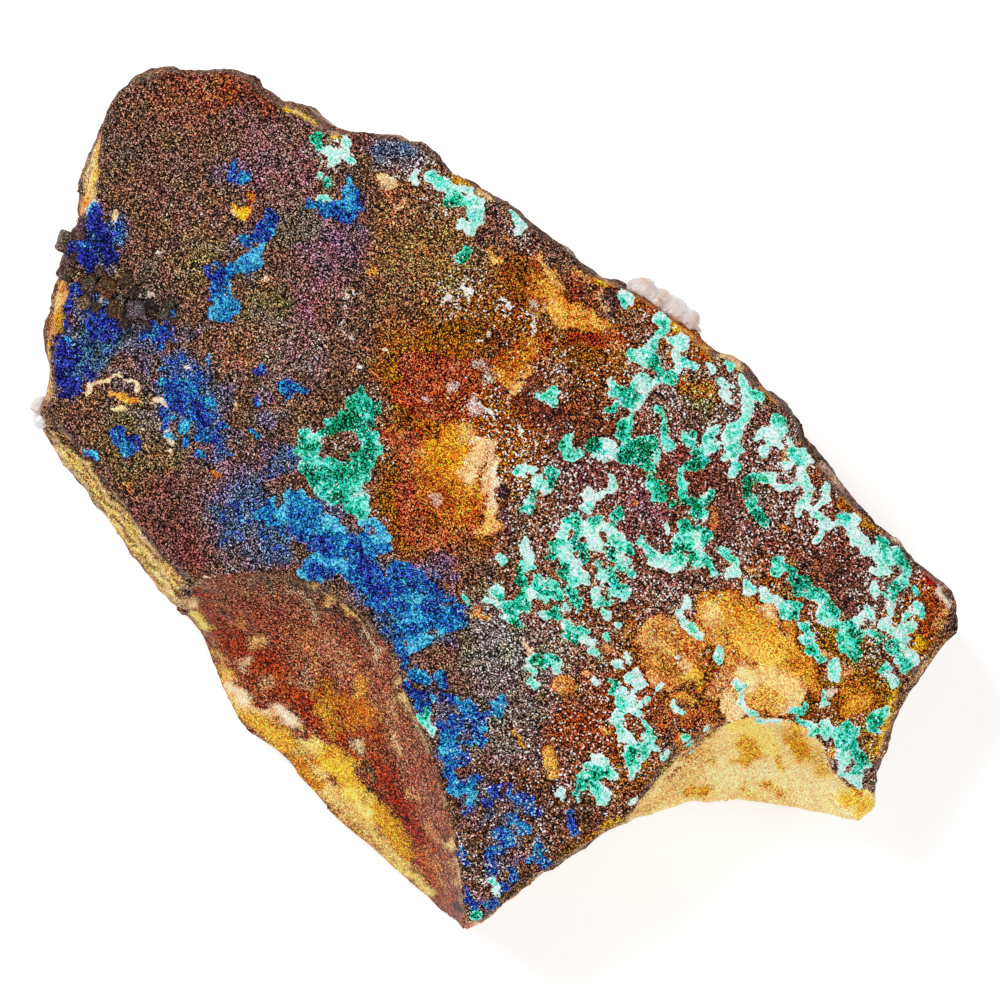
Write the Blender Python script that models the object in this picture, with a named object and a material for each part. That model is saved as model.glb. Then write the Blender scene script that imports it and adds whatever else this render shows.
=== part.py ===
"""An azurite and malachite specimen: a broken slab of limonite and jasper whose upper face carries
crusts of blue azurite and green malachite, a shoulder of goethite blocks and a little quartz.

Metres, +Z up, standing on its flat underside at z = 0, with its long side along X and the origin
under the middle of its box. Plan points are read on a 100 mm tracing sheet: x to the right and
y down, in millimetres. place() turns that sheet so that the slab's long side lies along X.
"""

import random
from math import cos, pi, radians, sin

import bmesh
import bpy
from mathutils import Matrix, Vector, noise
from mathutils.bvhtree import BVHTree

MM = 0.001

# Driving dimensions, in millimetres.
SLAB_MIDDLE = 23.2  # height of the upper face along the middle of the slab
SLAB_ENDS = 21.5  # and at the two ends of that middle line
SKIRT_HEIGHT = 9.0  # height of the widest line of the broken sides
JASPER_FOOT = 3.0  # and of the foot of the smooth jasper face
CRUST_DEPTH = 1.6  # the dark crust on the upper face, seen along its broken edge
UNDER_SWING = 1.1  # how much the underside's insets vary along the edge, as a share
TOP_RELIEF = 0.5  # unevenness of the upper face
SIDE_RELIEF = 1.3  # depth of the ledges of the broken sides
SEAT_GAP = 0.3  # gap between a crust and the slab that it grew on
FLAT_ANGLE = radians(0.3)  # faces turned less than this from each other count as one plane

SHEET_CENTRE = (44.67, 50.95)  # the sheet point that stands over the origin
SHEET_TURN = radians(41.0)  # the long side falls to the right by this angle on the sheet
MIDDLE_LINE = ((23.0, 25.0), (75.0, 63.0))  # runs along the middle of the upper face

# The rim of the upper face, clockwise on the sheet: x, y, height, and how far the side below
# stands out past the rim.
WEST_SHOULDER = [
    (4.6, 41.0, 14.5, 1.0), (5.3, 39.5, 14.8, 0.8), (5.6, 37.3, 15.4, 0.6), (5.6, 35.0, 16.0, 1.0),
    (5.9, 33.0, 16.6, 1.3), (6.4, 31.0, 17.2, 1.3), (6.8, 29.3, 17.6, 1.5), (6.9, 27.9, 18.0, 0.8),
    (6.5, 26.4, 18.4, 0.2), (7.2, 24.9, 18.8, 0.0), (7.6, 23.6, 19.2, 0.0), (8.5, 22.3, 19.5, 0.1),
    (8.7, 21.2, 19.8, 0.8), (9.4, 19.9, 20.2, 1.5), (9.9, 18.2, 20.4, 1.8), (10.1, 16.2, 20.6, 1.4),
    (10.2, 14.5, 20.8, 0.7),
]
NORTH_END = [
    (10.6, 12.9, 20.8, 0.1), (11.4, 11.1, 20.8, 0.1), (12.3, 9.5, 20.6, 0.1), (13.4, 8.2, 20.4, 0.0),
    (15.4, 7.4, 20.2, 0.1), (17.3, 6.8, 20.0, 0.1), (18.6, 7.6, 20.3, 0.2), (20.6, 7.5, 20.7, 0.0),
    (22.9, 7.6, 21.0, 0.0), (24.7, 8.3, 21.0, 0.0), (26.0, 9.3, 21.2, 0.0), (28.2, 10.5, 21.4, 0.2),
]
NORTH_EDGE = [
    (30.2, 12.2, 21.4, 1.6), (32.0, 13.5, 21.5, 1.5), (34.0, 14.0, 21.6, 1.0), (36.2, 13.8, 21.8, 0.1),
    (39.6, 13.9, 22.0, 0.0), (42.2, 14.8, 22.0, 0.0), (43.4, 15.7, 22.0, 0.0), (44.8, 17.6, 22.0, 0.3),
    (46.6, 18.9, 22.0, 0.9), (48.4, 19.9, 22.0, 0.5), (50.6, 20.8, 22.0, 0.0), (54.0, 23.4, 22.0, 0.0),
    (56.2, 24.9, 22.0, 0.1), (58.0, 26.8, 22.0, 0.1), (60.2, 28.2, 22.0, 0.0), (62.4, 29.0, 22.0, 0.3),
    (64.6, 30.3, 21.8, 0.8), (66.8, 31.8, 21.6, 0.9), (69.0, 33.8, 21.5, 0.6), (71.2, 35.7, 21.5, 0.1),
    (73.0, 36.0, 21.5, 0.0), (74.4, 37.1, 21.5, 0.0), (75.4, 38.9, 21.5, 0.0), (78.2, 40.7, 21.4, 0.0),
    (79.6, 42.4, 21.3, 0.0), (80.1, 44.1, 21.2, 0.2), (81.8, 46.6, 21.0, 0.7), (83.4, 48.9, 21.0, 0.6),
    (85.2, 50.8, 20.8, 0.4), (87.4, 53.0, 20.4, 0.2), (89.4, 54.4, 20.0, 0.3),
]
EAST_END = [
    (91.0, 56.2, 19.6, 0.2), (93.3, 58.0, 18.8, 0.2), (94.8, 59.7, 18.2, 0.4), (95.1, 61.3, 17.8, 0.2),
    (94.7, 62.9, 17.8, 0.3), (92.7, 65.4, 18.0, 0.3), (90.8, 68.4, 18.0, 0.2), (89.2, 71.4, 17.6, 0.2),
    (88.2, 74.8, 17.0, 0.2), (87.4, 78.0, 16.0, 0.2), (87.4, 80.6, 14.0, 0.2), (86.0, 82.0, 13.0, 0.0),
]
SOUTH_EDGE = [
    (83.2, 81.3, 14.0, 0.0), (79.6, 80.6, 15.5, 0.0), (75.8, 80.2, 17.0, 0.0), (72.6, 79.8, 18.5, 0.0),
    (69.0, 80.0, 19.5, 0.0), (66.4, 80.8, 20.2, 0.2), (63.2, 81.6, 20.6, 0.2), (60.2, 83.1, 20.6, 0.0),
    (57.4, 85.0, 20.4, 0.0), (54.6, 86.8, 20.0, 0.0), (51.8, 88.4, 19.4, 0.2), (50.0, 90.2, 19.0, 0.1),
    (48.0, 91.9, 18.4, 0.2), (46.7, 92.1, 18.0, 0.9),
]
# The rim over the smooth jasper face, which slopes far out: x, y, height, and the foot's x and y.
JASPER_FACE = [
    (46.3, 90.4, 18.2, 44.3, 91.5), (46.1, 88.0, 18.6, 43.2, 90.2), (45.8, 85.4, 19.0, 41.8, 89.2),
    (45.3, 82.6, 19.4, 40.2, 87.9), (44.6, 79.8, 19.8, 38.4, 86.3), (43.8, 77.0, 20.2, 37.0, 84.9),
    (42.8, 74.2, 20.5, 35.1, 83.6), (41.5, 71.6, 20.8, 33.5, 82.0), (40.5, 69.2, 21.0, 32.0, 80.2),
    (39.8, 66.6, 21.1, 30.3, 78.4), (38.5, 64.2, 21.2, 28.6, 76.3), (36.6, 62.0, 21.2, 26.6, 74.6),
    (34.2, 60.0, 21.2, 24.6, 73.2), (31.4, 58.4, 21.1, 23.7, 72.3), (28.4, 57.5, 20.8, 22.9, 70.6),
    (25.4, 57.4, 20.2, 22.0, 68.6), (22.6, 57.7, 19.4, 21.1, 66.2), (20.2, 58.0, 18.6, 20.0, 63.4),
]
BANDED_EDGE = [
    (18.2, 57.2, 17.8, 2.9), (16.2, 55.0, 17.2, 2.6), (14.2, 52.6, 16.6, 2.4), (12.4, 50.4, 16.0, 2.1),
    (10.6, 48.4, 15.6, 1.9), (8.8, 46.2, 15.2, 1.8), (7.0, 44.2, 14.8, 1.6), (5.6, 42.6, 14.5, 1.2),
]
RIM = WEST_SHOULDER + NORTH_END + NORTH_EDGE + EAST_END + SOUTH_EDGE + JASPER_FACE + BANDED_EDGE

# Swells and dips of the upper face: sheet point, radius, height.
SWELLS = [
    (27.0, 37.0, 6.0, 0.9), (32.0, 38.5, 4.5, 0.7), (33.5, 53.0, 6.5, 0.8), (40.0, 58.5, 5.5, 0.8),
    (13.5, 29.5, 5.0, 0.8), (26.0, 13.5, 6.0, 0.7), (39.0, 19.0, 4.5, 0.8), (62.5, 35.0, 6.0, 0.5),
    (77.0, 55.0, 7.0, 0.6), (58.0, 58.0, 6.0, 0.6), (34.3, 43.8, 2.6, -0.9), (46.0, 44.0, 8.0, -1.1),
    (53.5, 37.0, 4.5, -0.8), (20.0, 49.0, 6.0, -0.5), (70.0, 52.0, 5.0, -0.6), (56.0, 72.0, 7.0, -0.5),
]
TOP_RINGS = (0.2, 0.38, 0.54, 0.68, 0.81, 0.92)  # shares of the way from middle line to rim
SIDE_RINGS = (0.25, 0.5, 0.75, 1.0)  # shares of the way from crust edge to widest line
UNDER_RINGS = ((0.45, 1.5), (0.0, 5.0))  # share of the widest line's height, and inset

# Chips broken out of the slab: sheet point, height of centre, radii along, across and down, and
# the turn of the long radius on the sheet, in degrees.
CHIPS = {
    "south_bite": (75.8, 88.5, 27.0, 15.0, 17.6, 20.0, -6.0),
    "south_flake": (63.0, 90.0, 26.0, 7.0, 13.0, 13.0, 35.0),
    "ochre_hollow": (46.6, 48.6, 25.6, 5.4, 5.0, 3.6, 60.0),
    "ochre_gouge": (56.2, 30.6, 24.0, 6.6, 3.0, 2.8, 42.0),
    "orange_chip": (51.4, 36.6, 25.0, 3.6, 2.2, 2.6, -45.0),
    "ochre_shelf": (75.0, 65.0, 24.6, 8.6, 5.4, 3.6, 30.0),
}

# Crusts: name, mineral, centre lines. A centre line is a list of sheet x, y and half width, and
# closed lines are rings.
AZURITE_LINES = {
    "azurite_crescent": [([(31.0, 20.3, 0.5), (32.4, 21.2, 0.8), (33.8, 21.4, 1.0), (35.2, 20.8, 1.2),
                           (35.6, 19.6, 0.9), (35.0, 18.4, 0.5)], False)],
    "azurite_seam": [([(26.9, 21.8, 0.7), (27.3, 23.2, 0.7), (25.6, 23.6, 0.7)], False),
                     ([(26.2, 24.4, 0.7), (25.8, 25.6, 0.9), (24.2, 26.5, 0.8), (22.0, 27.2, 0.9),
                       (21.6, 28.8, 0.9), (22.0, 30.3, 1.0), (23.4, 30.9, 0.8)], False)],
    "azurite_west_face": [([(6.9, 38.6, 1.0), (6.8, 36.4, 1.4), (7.4, 34.2, 1.5), (8.9, 33.2, 1.4),
                            (10.6, 34.2, 1.2), (9.6, 35.8, 1.3), (8.4, 37.4, 1.0)], False)],
    "azurite_upper_band": [([(15.4, 37.2, 0.8), (17.6, 38.8, 1.4), (19.4, 40.4, 1.4), (20.4, 42.8, 1.2),
                             (21.6, 44.8, 0.8)], False)],
    "azurite_main_band": [([(24.4, 50.4, 1.2), (27.4, 51.4, 1.8), (30.6, 52.2, 2.2), (33.6, 54.2, 2.4),
                            (37.0, 56.4, 2.4), (40.0, 59.0, 2.6), (42.2, 61.8, 2.4), (41.0, 64.2, 1.4)], False),
                          ([(30.6, 57.2, 1.0), (33.0, 56.0, 1.6), (36.0, 56.0, 1.8)], False),
                          ([(40.6, 60.8, 1.6), (43.8, 61.8, 1.3), (46.0, 61.8, 0.7)], False)],
    "azurite_south_fringe": [([(42.0, 68.0, 0.8), (42.6, 70.4, 0.8), (45.0, 70.2, 0.6), (47.2, 71.2, 0.8),
                               (47.0, 73.0, 0.6), (44.9, 74.6, 1.1), (45.0, 77.4, 0.7), (46.2, 79.0, 1.0)], False)],
}
MALACHITE_LINES = {
    "malachite_rosette": [([(31.0, 44.6, 1.3), (32.2, 42.4, 1.2), (34.6, 41.4, 1.4), (36.4, 43.0, 1.2),
                            (36.8, 46.0, 1.2), (35.2, 49.0, 1.5), (32.6, 48.4, 1.4)], True),
                          ([(34.6, 41.4, 1.4), (35.8, 40.3, 1.0)], False)],
    "malachite_loops_upper": [([(65.9, 31.8, 0.9), (65.2, 34.0, 0.7), (65.0, 36.6, 1.0), (67.4, 37.6, 0.8),
                                (68.4, 35.4, 0.7), (67.0, 33.6, 0.7)], True)],
    "malachite_ring_west": [([(61.2, 38.8, 0.7), (62.6, 40.4, 1.0), (62.8, 42.4, 0.8)], False),
                            ([(62.6, 40.4, 1.0), (64.4, 38.6, 0.9)], False)],
    "malachite_beads": [([(56.8, 44.8, 1.1), (58.8, 45.0, 0.6), (60.4, 45.0, 1.1), (62.4, 45.4, 0.8),
                          (64.4, 44.8, 0.9)], False)],
    "malachite_loop_east": [([(72.6, 38.4, 0.6), (74.6, 38.3, 0.6), (75.4, 39.8, 0.8), (74.2, 41.6, 0.8),
                              (73.0, 43.4, 0.8), (73.2, 45.6, 0.7), (73.4, 47.0, 0.6)], False)],
    "malachite_east_mass": [([(77.6, 42.8, 0.9), (78.2, 44.4, 0.7), (79.8, 45.2, 0.7), (80.6, 47.0, 0.6),
                              (79.4, 48.2, 0.5), (77.2, 48.0, 0.6), (75.2, 47.4, 0.8), (74.6, 49.4, 0.6),
                              (75.8, 51.0, 0.6)], False)],
    "malachite_hook": [([(82.2, 51.4, 0.6), (84.8, 52.6, 0.8), (87.4, 54.6, 0.9), (89.6, 55.4, 1.0),
                         (90.8, 57.0, 0.7), (90.2, 58.8, 0.6), (88.6, 59.6, 0.5)], False)],
    "malachite_middle_mass": [([(51.6, 59.4, 1.0), (53.2, 58.4, 1.1), (54.6, 56.4, 1.1), (56.4, 55.2, 1.2),
                                (57.6, 56.6, 1.1), (60.0, 57.8, 1.0), (61.6, 59.2, 0.8)], False)],
    "malachite_diagonal": [([(78.4, 57.2, 0.6), (80.4, 58.8, 0.7), (82.6, 60.6, 0.8), (84.6, 62.4, 0.8),
                             (86.4, 64.4, 0.8), (88.2, 62.6, 0.6)], False)],
    "malachite_corner_patch": [([(84.4, 73.2, 0.8), (85.6, 74.4, 1.1), (85.8, 76.2, 0.9)], False)],
    "malachite_south_stem": [([(63.2, 66.2, 0.9), (62.6, 69.0, 1.0), (62.8, 71.6, 0.8), (63.8, 74.0, 1.0),
                               (63.2, 76.0, 0.7)], False)],
}

# Goethite blocks on the west shoulder: sheet x, y and edge length, all fused.
GOETHITE_BLOCKS = [
    (6.9, 24.4, 1.9), (7.9, 23.7, 1.6), (7.4, 26.2, 1.8), (8.6, 27.6, 2.0), (10.2, 28.2, 2.2),
    (9.3, 29.8, 1.8), (11.6, 28.0, 1.8), (12.4, 29.8, 2.2), (13.8, 31.2, 2.1), (12.8, 32.2, 1.6),
    (15.0, 30.0, 1.9), (16.4, 31.2, 1.6),
]
# Quartz knobs: sheet x, y, height and radius, all fused.
QUARTZ_EAST = [(64.2, 29.2, 18.6, 1.5), (65.6, 30.4, 18.2, 1.5), (67.2, 31.4, 17.6, 1.7),
               (68.4, 32.4, 17.4, 1.7), (69.0, 33.6, 17.2, 1.4)]
QUARTZ_WEST = [(4.3, 40.6, 12.6, 1.1), (4.4, 41.6, 12.2, 1.2), (5.0, 42.4, 12.0, 1.0)]

MATERIALS = {  # colour, roughness
    "matrix_stone": ((0.16, 0.075, 0.04), 0.75),
    "azurite": ((0.01, 0.09, 0.55), 0.45),
    "malachite": ((0.12, 0.55, 0.33), 0.7),
    "goethite": ((0.07, 0.04, 0.03), 0.5),
    "quartz": ((0.75, 0.66, 0.58), 0.3),
}


def place(x, y, z):
    """A sheet point and a height, in millimetres, as a point of the part in metres."""
    east, north = x - SHEET_CENTRE[0], SHEET_CENTRE[1] - y
    return Vector((
        east * cos(SHEET_TURN) - north * sin(SHEET_TURN),
        east * sin(SHEET_TURN) + north * cos(SHEET_TURN),
        z,
    )) * MM


def clear_scene():
    for obj in list(bpy.data.objects):
        bpy.data.objects.remove(obj)


def new_collection(name):
    made = bpy.data.collections.new(name)
    bpy.context.scene.collection.children.link(made)
    return made


def new_material(name):
    colour, roughness = MATERIALS[name]
    made = bpy.data.materials.new(name)
    made.use_nodes = True
    shader = made.node_tree.nodes["Principled BSDF"]
    shader.inputs["Base Color"].default_value = (*colour, 1.0)
    shader.inputs["Roughness"].default_value = roughness
    return made


def object_from(bm, name, collection, material=None):
    """The bmesh as a new object at the origin, in triangles that face outwards."""
    bmesh.ops.triangulate(bm, faces=bm.faces)
    bmesh.ops.recalc_face_normals(bm, faces=bm.faces)
    mesh = bpy.data.meshes.new(name)
    bm.to_mesh(mesh)
    bm.free()
    if material:
        mesh.materials.append(material)
    made = bpy.data.objects.new(name, mesh)
    collection.objects.link(made)
    return made


def hide(obj):
    obj.hide_render = True
    obj.display_type = "WIRE"


def cut_with(obj, cutter):
    """Cuts cutter out of obj and keeps the largest body that is left."""
    modifier = obj.modifiers.new("cut", "BOOLEAN")
    modifier.operation = "DIFFERENCE"
    modifier.object = cutter
    apply_modifiers(obj)
    keep_largest_body(obj.data)


def fuse(name, lumps, collection, material):
    """One body made of overlapping closed lumps, each handed in as a bmesh."""
    made = object_from(lumps[0], name, collection, material)
    for lump in lumps[1:]:
        piece = object_from(lump, name + "_lump", collection)
        modifier = made.modifiers.new("fuse", "BOOLEAN")
        modifier.operation = "UNION"
        modifier.object = piece
        apply_modifiers(made)
        bpy.data.objects.remove(piece)
    return made


def apply_modifiers(obj):
    graph = bpy.context.evaluated_depsgraph_get()
    mesh = bpy.data.meshes.new_from_object(obj.evaluated_get(graph))
    obj.modifiers.clear()
    obj.data = mesh


def bodies_of(bm):
    """The bmesh's connected bodies, as lists of vertices."""
    left = set(bm.verts)
    bodies = []
    while left:
        body, edge = [], [left.pop()]
        while edge:
            vert = edge.pop()
            body.append(vert)
            for link in vert.link_edges:
                other = link.other_vert(vert)
                if other in left:
                    left.remove(other)
                    edge.append(other)
        bodies.append(body)
    return bodies


def keep_largest_body(mesh):
    """Drops the small bodies that a cut leaves, and joins faces that lie in one plane."""
    bm = bmesh.new()
    bm.from_mesh(mesh)
    bodies = sorted(bodies_of(bm), key=len)
    for body in bodies[:-1]:
        bmesh.ops.delete(bm, geom=body, context="VERTS")
    bmesh.ops.dissolve_limit(bm, angle_limit=FLAT_ANGLE, verts=bm.verts, edges=bm.edges)
    bm.to_mesh(mesh)
    bm.free()


# --- the slab ---------------------------------------------------------------------------------


def outward(index):
    """The direction that leaves the rim at a station, on the sheet."""
    before, after = RIM[index - 2], RIM[(index + 2) % len(RIM)]
    along = Vector((after[0] - before[0], after[1] - before[1])).normalized()
    return Vector((along.y, -along.x))


def middle_point(x, y):
    """The nearest point of the middle line to a sheet point, with the share of the way along."""
    start, end = (Vector(p) for p in MIDDLE_LINE)
    run = end - start
    share = min(1.0, max(0.0, (Vector((x, y)) - start).dot(run) / run.length_squared))
    return start + run * share, share


def top_point(station, share):
    """A point of the upper face, a share of the way from the middle line to the rim."""
    x, y, rim_z = station[:3]
    middle, along = middle_point(x, y)
    here = middle.lerp(Vector((x, y)), share)
    middle_z = SLAB_ENDS + (SLAB_MIDDLE - SLAB_ENDS) * sin(pi * along)
    relief = TOP_RELIEF * noise.noise(Vector((here.x * 0.2, here.y * 0.2, 4.0)))
    for swell_x, swell_y, radius, height in SWELLS:
        away = ((here.x - swell_x) ** 2 + (here.y - swell_y) ** 2) / radius ** 2
        relief += height * max(0.0, 1.0 - away) ** 2
    return here.x, here.y, middle_z + (rim_z - middle_z) * share ** 2.2 + relief


def foot_of(index):
    """The widest point of the side under a rim station, with its height."""
    x, y, _, *rest = RIM[index]
    if len(rest) == 2:
        return (*rest, JASPER_FOOT)
    out = outward(index)
    return x + out.x * rest[0], y + out.y * rest[0], SKIRT_HEIGHT


def side_point(index, share):
    """A point of the broken side, a share of the way from the crust's edge to the widest line."""
    x, y, rim_z = RIM[index][:3]
    foot_x, foot_y, foot_z = foot_of(index)
    sloping = foot_z == JASPER_FOOT
    spread = share ** 1.15 if sloping else min(1.0, 1.6 * share)
    z = rim_z - CRUST_DEPTH + (foot_z - rim_z + CRUST_DEPTH) * share
    rough = 0.1
    if not sloping:
        ledge = noise.noise(Vector((x * 0.2, y * 0.2, z * 0.5)))
        rough += SIDE_RELIEF * ledge * (1.0 - 0.8 * share)
    out = outward(index)
    return x + (foot_x - x) * spread + out.x * rough, y + (foot_y - y) * spread + out.y * rough, z


def under_point(index, share, inset):
    """A point below the widest line, drawn in towards the slab's middle, at a share of its height."""
    x, y, foot_z = foot_of(index)
    inwards = (Vector(SHEET_CENTRE) - Vector((x, y))).normalized()
    swing = noise.noise(Vector((x * 0.09, y * 0.09, 9.0)))
    drawn = inset * (1.0 + UNDER_SWING * swing)
    if foot_z == JASPER_FOOT:
        drawn *= 0.5
    return x + inwards.x * drawn, y + inwards.y * drawn, foot_z * share


def slab_rings():
    """The closed rings of the slab, from the middle of the upper face to the underside."""
    stations = range(len(RIM))
    rings = [[top_point(RIM[i], share) for i in stations] for share in TOP_RINGS]
    rings.append([RIM[i][:3] for i in stations])
    rings.append([side_point(i, 0.0) for i in stations])
    rings += [[side_point(i, share) for i in stations] for share in SIDE_RINGS]
    rings += [[under_point(i, share, inset) for i in stations] for share, inset in UNDER_RINGS]
    return rings


def make_slab(name, collection, material=None, swell=0.0):
    bm = bmesh.new()
    rings = [[bm.verts.new(place(*point)) for point in ring] for ring in slab_rings()]
    for upper, lower in zip(rings, rings[1:]):
        for i in range(len(upper)):
            j = (i + 1) % len(upper)
            bm.faces.new((upper[i], upper[j], lower[j], lower[i]))
    bm.faces.new(rings[0])
    bm.faces.new(rings[-1])
    made = object_from(bm, name, collection, material)
    for vert in made.data.vertices:
        vert.co += vert.normal * (swell * MM)
    for chip in CHIPS:
        cutter = make_chip(chip, collection, swell)
        cut_with(made, cutter)
        bpy.data.objects.remove(cutter)
    return made


def make_chip(name, collection, shrink):
    """An egg-shaped cutter whose flat facets leave the shell-like scar of a struck flake."""
    x, y, z, *radii, turn = CHIPS[name]
    long, short, deep = (radius - shrink for radius in radii)
    bm = bmesh.new()
    bmesh.ops.create_icosphere(bm, subdivisions=3, radius=MM)
    for vert in bm.verts:
        vert.co *= 1.0 + 0.05 * noise.noise(vert.co * 1500.0)
    to_size = Matrix.Diagonal((long, short, deep, 1.0))
    to_turn = Matrix.Rotation(SHEET_TURN - radians(turn), 4, "Z")
    bmesh.ops.transform(bm, matrix=Matrix.Translation(place(x, y, z)) @ to_turn @ to_size, verts=bm.verts)
    return object_from(bm, name, collection)


# --- the crusts -------------------------------------------------------------------------------


class Ground:
    """The slab's upper surface, for standing crusts on."""

    def __init__(self, slab):
        bm = bmesh.new()
        bm.from_mesh(slab.data)
        self.tree = BVHTree.FromBMesh(bm)
        bm.free()

    def at(self, x, y, lift=0.0):
        """The point of the surface under a sheet point, raised by lift millimetres."""
        above = place(x, y, 60.0)
        hit = self.tree.ray_cast(above, Vector((0, 0, -1)))[0]
        if hit is None:
            hit = self.tree.find_nearest(place(x, y, 18.0))[0]
        return hit + Vector((0, 0, lift * MM))


def tube(points, radii, closed, sides=6, flat=0.55):
    """A lumpy flattened tube along the points."""
    bm = bmesh.new()
    count = len(points)
    rings = []
    for i, (centre, radius) in enumerate(zip(points, radii)):
        before = points[i - 1] if closed or i else points[0]
        after = points[(i + 1) % count] if closed or i < count - 1 else points[-1]
        along = (after - before).normalized()
        across = along.cross(Vector((0, 0, 1))).normalized()
        up = across.cross(along)
        ring = []
        for k in range(sides):
            turn = 2 * pi * (k + 0.5) / sides
            ring.append(bm.verts.new(centre + (across * cos(turn) + up * sin(turn) * flat) * radius * MM))
        rings.append(ring)
    pairs = list(zip(rings, rings[1:]))
    if closed:
        pairs.append((rings[-1], rings[0]))
    for one, two in pairs:
        for k in range(sides):
            m = (k + 1) % sides
            bm.faces.new((one[k], one[m], two[m], two[k]))
    if not closed:
        bm.faces.new(rings[0])
        bm.faces.new(rings[-1])
    return bm


def knob(centre, radius, squash):
    """A rounded botryoidal knob."""
    bm = bmesh.new()
    bmesh.ops.create_icosphere(bm, subdivisions=1, radius=radius * MM)
    shape = Matrix.Translation(centre) @ Matrix.Diagonal((1.0, 1.0, squash, 1.0))
    bmesh.ops.transform(bm, matrix=shape, verts=bm.verts)
    return bm


def blade(centre, size, spin, rng):
    """A blocky crystal with flat faces and slanted ends, leaning a little."""
    bm = bmesh.new()
    bmesh.ops.create_cube(bm, size=MM)
    shear = Matrix.Identity(4)
    shear[0][2] = 0.35
    lean = Matrix.Rotation(rng.uniform(-0.5, 0.5), 4, "X") @ Matrix.Rotation(rng.uniform(-0.5, 0.5), 4, "Y")
    stretch = Matrix.Diagonal((size * 1.25, size * 0.8, size * rng.uniform(0.8, 1.15), 1.0))
    turn = Matrix.Rotation(spin, 4, "Z")
    shape = Matrix.Translation(centre) @ turn @ lean @ stretch @ shear
    bmesh.ops.transform(bm, matrix=shape, verts=bm.verts)
    return bm


def make_crust(name, lines, ground, seat, collection, material, crystals):
    """A crust on the slab: pads along its centre lines, studded with blades or with knobs."""
    rng = random.Random(name)
    lumps = []
    for line, closed in lines:
        points = [ground.at(x, y, 0.35) for x, y, _ in line]
        radii = [width * rng.uniform(0.92, 1.12) for _, _, width in line]
        lumps.append(tube(points, radii, closed))
        for x, y, width in line if crystals else line[1::2]:
            if crystals:
                centre = ground.at(x, y, 0.55)
                lumps.append(blade(centre, width * rng.uniform(0.9, 1.25), rng.uniform(0, pi), rng))
            else:
                centre = ground.at(x, y, 0.4)
                lumps.append(knob(centre, width * rng.uniform(0.85, 1.1), 0.75))
    cut_with(fuse(name, lumps, collection, material), seat)


def make_goethite(ground, seat, collection, material):
    rng = random.Random("goethite")
    points = [ground.at(x, y, 0.2) for x, y, _ in GOETHITE_BLOCKS]
    lumps = [tube(points, [1.1] * len(points), False)]
    for x, y, size in GOETHITE_BLOCKS:
        lumps.append(blade(ground.at(x, y, 0.5), size, rng.uniform(0, pi), rng))
    cut_with(fuse("goethite_blocks", lumps, collection, material), seat)


def make_quartz(name, knobs, seat, collection, material):
    lumps = [knob(place(x, y, z), radius, 1.0) for x, y, z, radius in knobs]
    cut_with(fuse(name, lumps, collection, material), seat)


def main():
    clear_scene()
    part = new_collection("azurite_specimen")
    cutters = new_collection("cutters")
    material = {name: new_material(name) for name in MATERIALS}

    slab = make_slab("limonite_slab", part, material["matrix_stone"])
    ground = Ground(slab)
    seat = make_slab("seat_cutter", cutters, swell=SEAT_GAP)
    hide(seat)
    for name, lines in AZURITE_LINES.items():
        make_crust(name, lines, ground, seat, part, material["azurite"], crystals=True)
    for name, lines in MALACHITE_LINES.items():
        make_crust(name, lines, ground, seat, part, material["malachite"], crystals=False)
    make_goethite(ground, seat, part, material["goethite"])
    make_quartz("quartz_knobs_east", QUARTZ_EAST, seat, part, material["quartz"])
    make_quartz("quartz_knobs_west", QUARTZ_WEST, seat, part, material["quartz"])


main()
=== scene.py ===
# A broken slab of limonite and jasper, with azurite and malachite grown over its upper face.
# Places are read on a tracing sheet, 100 mm square: x to the right and y down, in millimetres.
import random
from math import cos, radians, sin

import bmesh
import bpy
import numpy as np
from mathutils import Matrix, Vector, kdtree, noise


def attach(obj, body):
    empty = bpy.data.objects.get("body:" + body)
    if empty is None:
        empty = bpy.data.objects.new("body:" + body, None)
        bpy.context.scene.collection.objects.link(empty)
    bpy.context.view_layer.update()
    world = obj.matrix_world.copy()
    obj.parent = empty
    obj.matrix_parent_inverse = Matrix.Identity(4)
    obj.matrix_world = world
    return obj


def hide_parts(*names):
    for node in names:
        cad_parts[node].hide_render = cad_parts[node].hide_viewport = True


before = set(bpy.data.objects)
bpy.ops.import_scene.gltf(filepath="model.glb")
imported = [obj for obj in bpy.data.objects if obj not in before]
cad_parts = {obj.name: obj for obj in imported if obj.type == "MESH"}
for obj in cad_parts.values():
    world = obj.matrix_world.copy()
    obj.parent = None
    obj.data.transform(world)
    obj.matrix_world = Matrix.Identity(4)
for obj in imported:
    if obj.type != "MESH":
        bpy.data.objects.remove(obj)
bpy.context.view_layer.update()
mm = 0.001

sheet = {
    "centre": (44.67, 50.95),  # the sheet point over the part's origin
    "turn": radians(41.0),  # how far the slab's long side falls to the right on the sheet
    "middle": (50.0, 50.0),
    "size": 100.0,
}


def place(x, y, z=0.0):
    east, north = x - sheet["centre"][0], sheet["centre"][1] - y
    c, s = cos(sheet["turn"]), sin(sheet["turn"])
    return Vector((east * c - north * s, east * s + north * c, z)) * mm


def sheetPlaces(points):  # the sheet x and y under points in metres, one row each
    c, s = cos(sheet["turn"]), sin(sheet["turn"])
    east = (points[:, 0] * c + points[:, 1] * s) / mm
    north = (points[:, 1] * c - points[:, 0] * s) / mm
    return np.stack((sheet["centre"][0] + east, sheet["centre"][1] - north), axis=1)


def hexColour(text, alpha=1.0):  # sRGB hex to linear
    parts = [int(text[i:i + 2], 16) / 255 for i in (1, 3, 5)]
    return tuple(p / 12.92 if p < 0.04045 else ((p + 0.055) / 1.055) ** 2.4 for p in parts) + (alpha,)


# ---- camera, lights and floor

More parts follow.
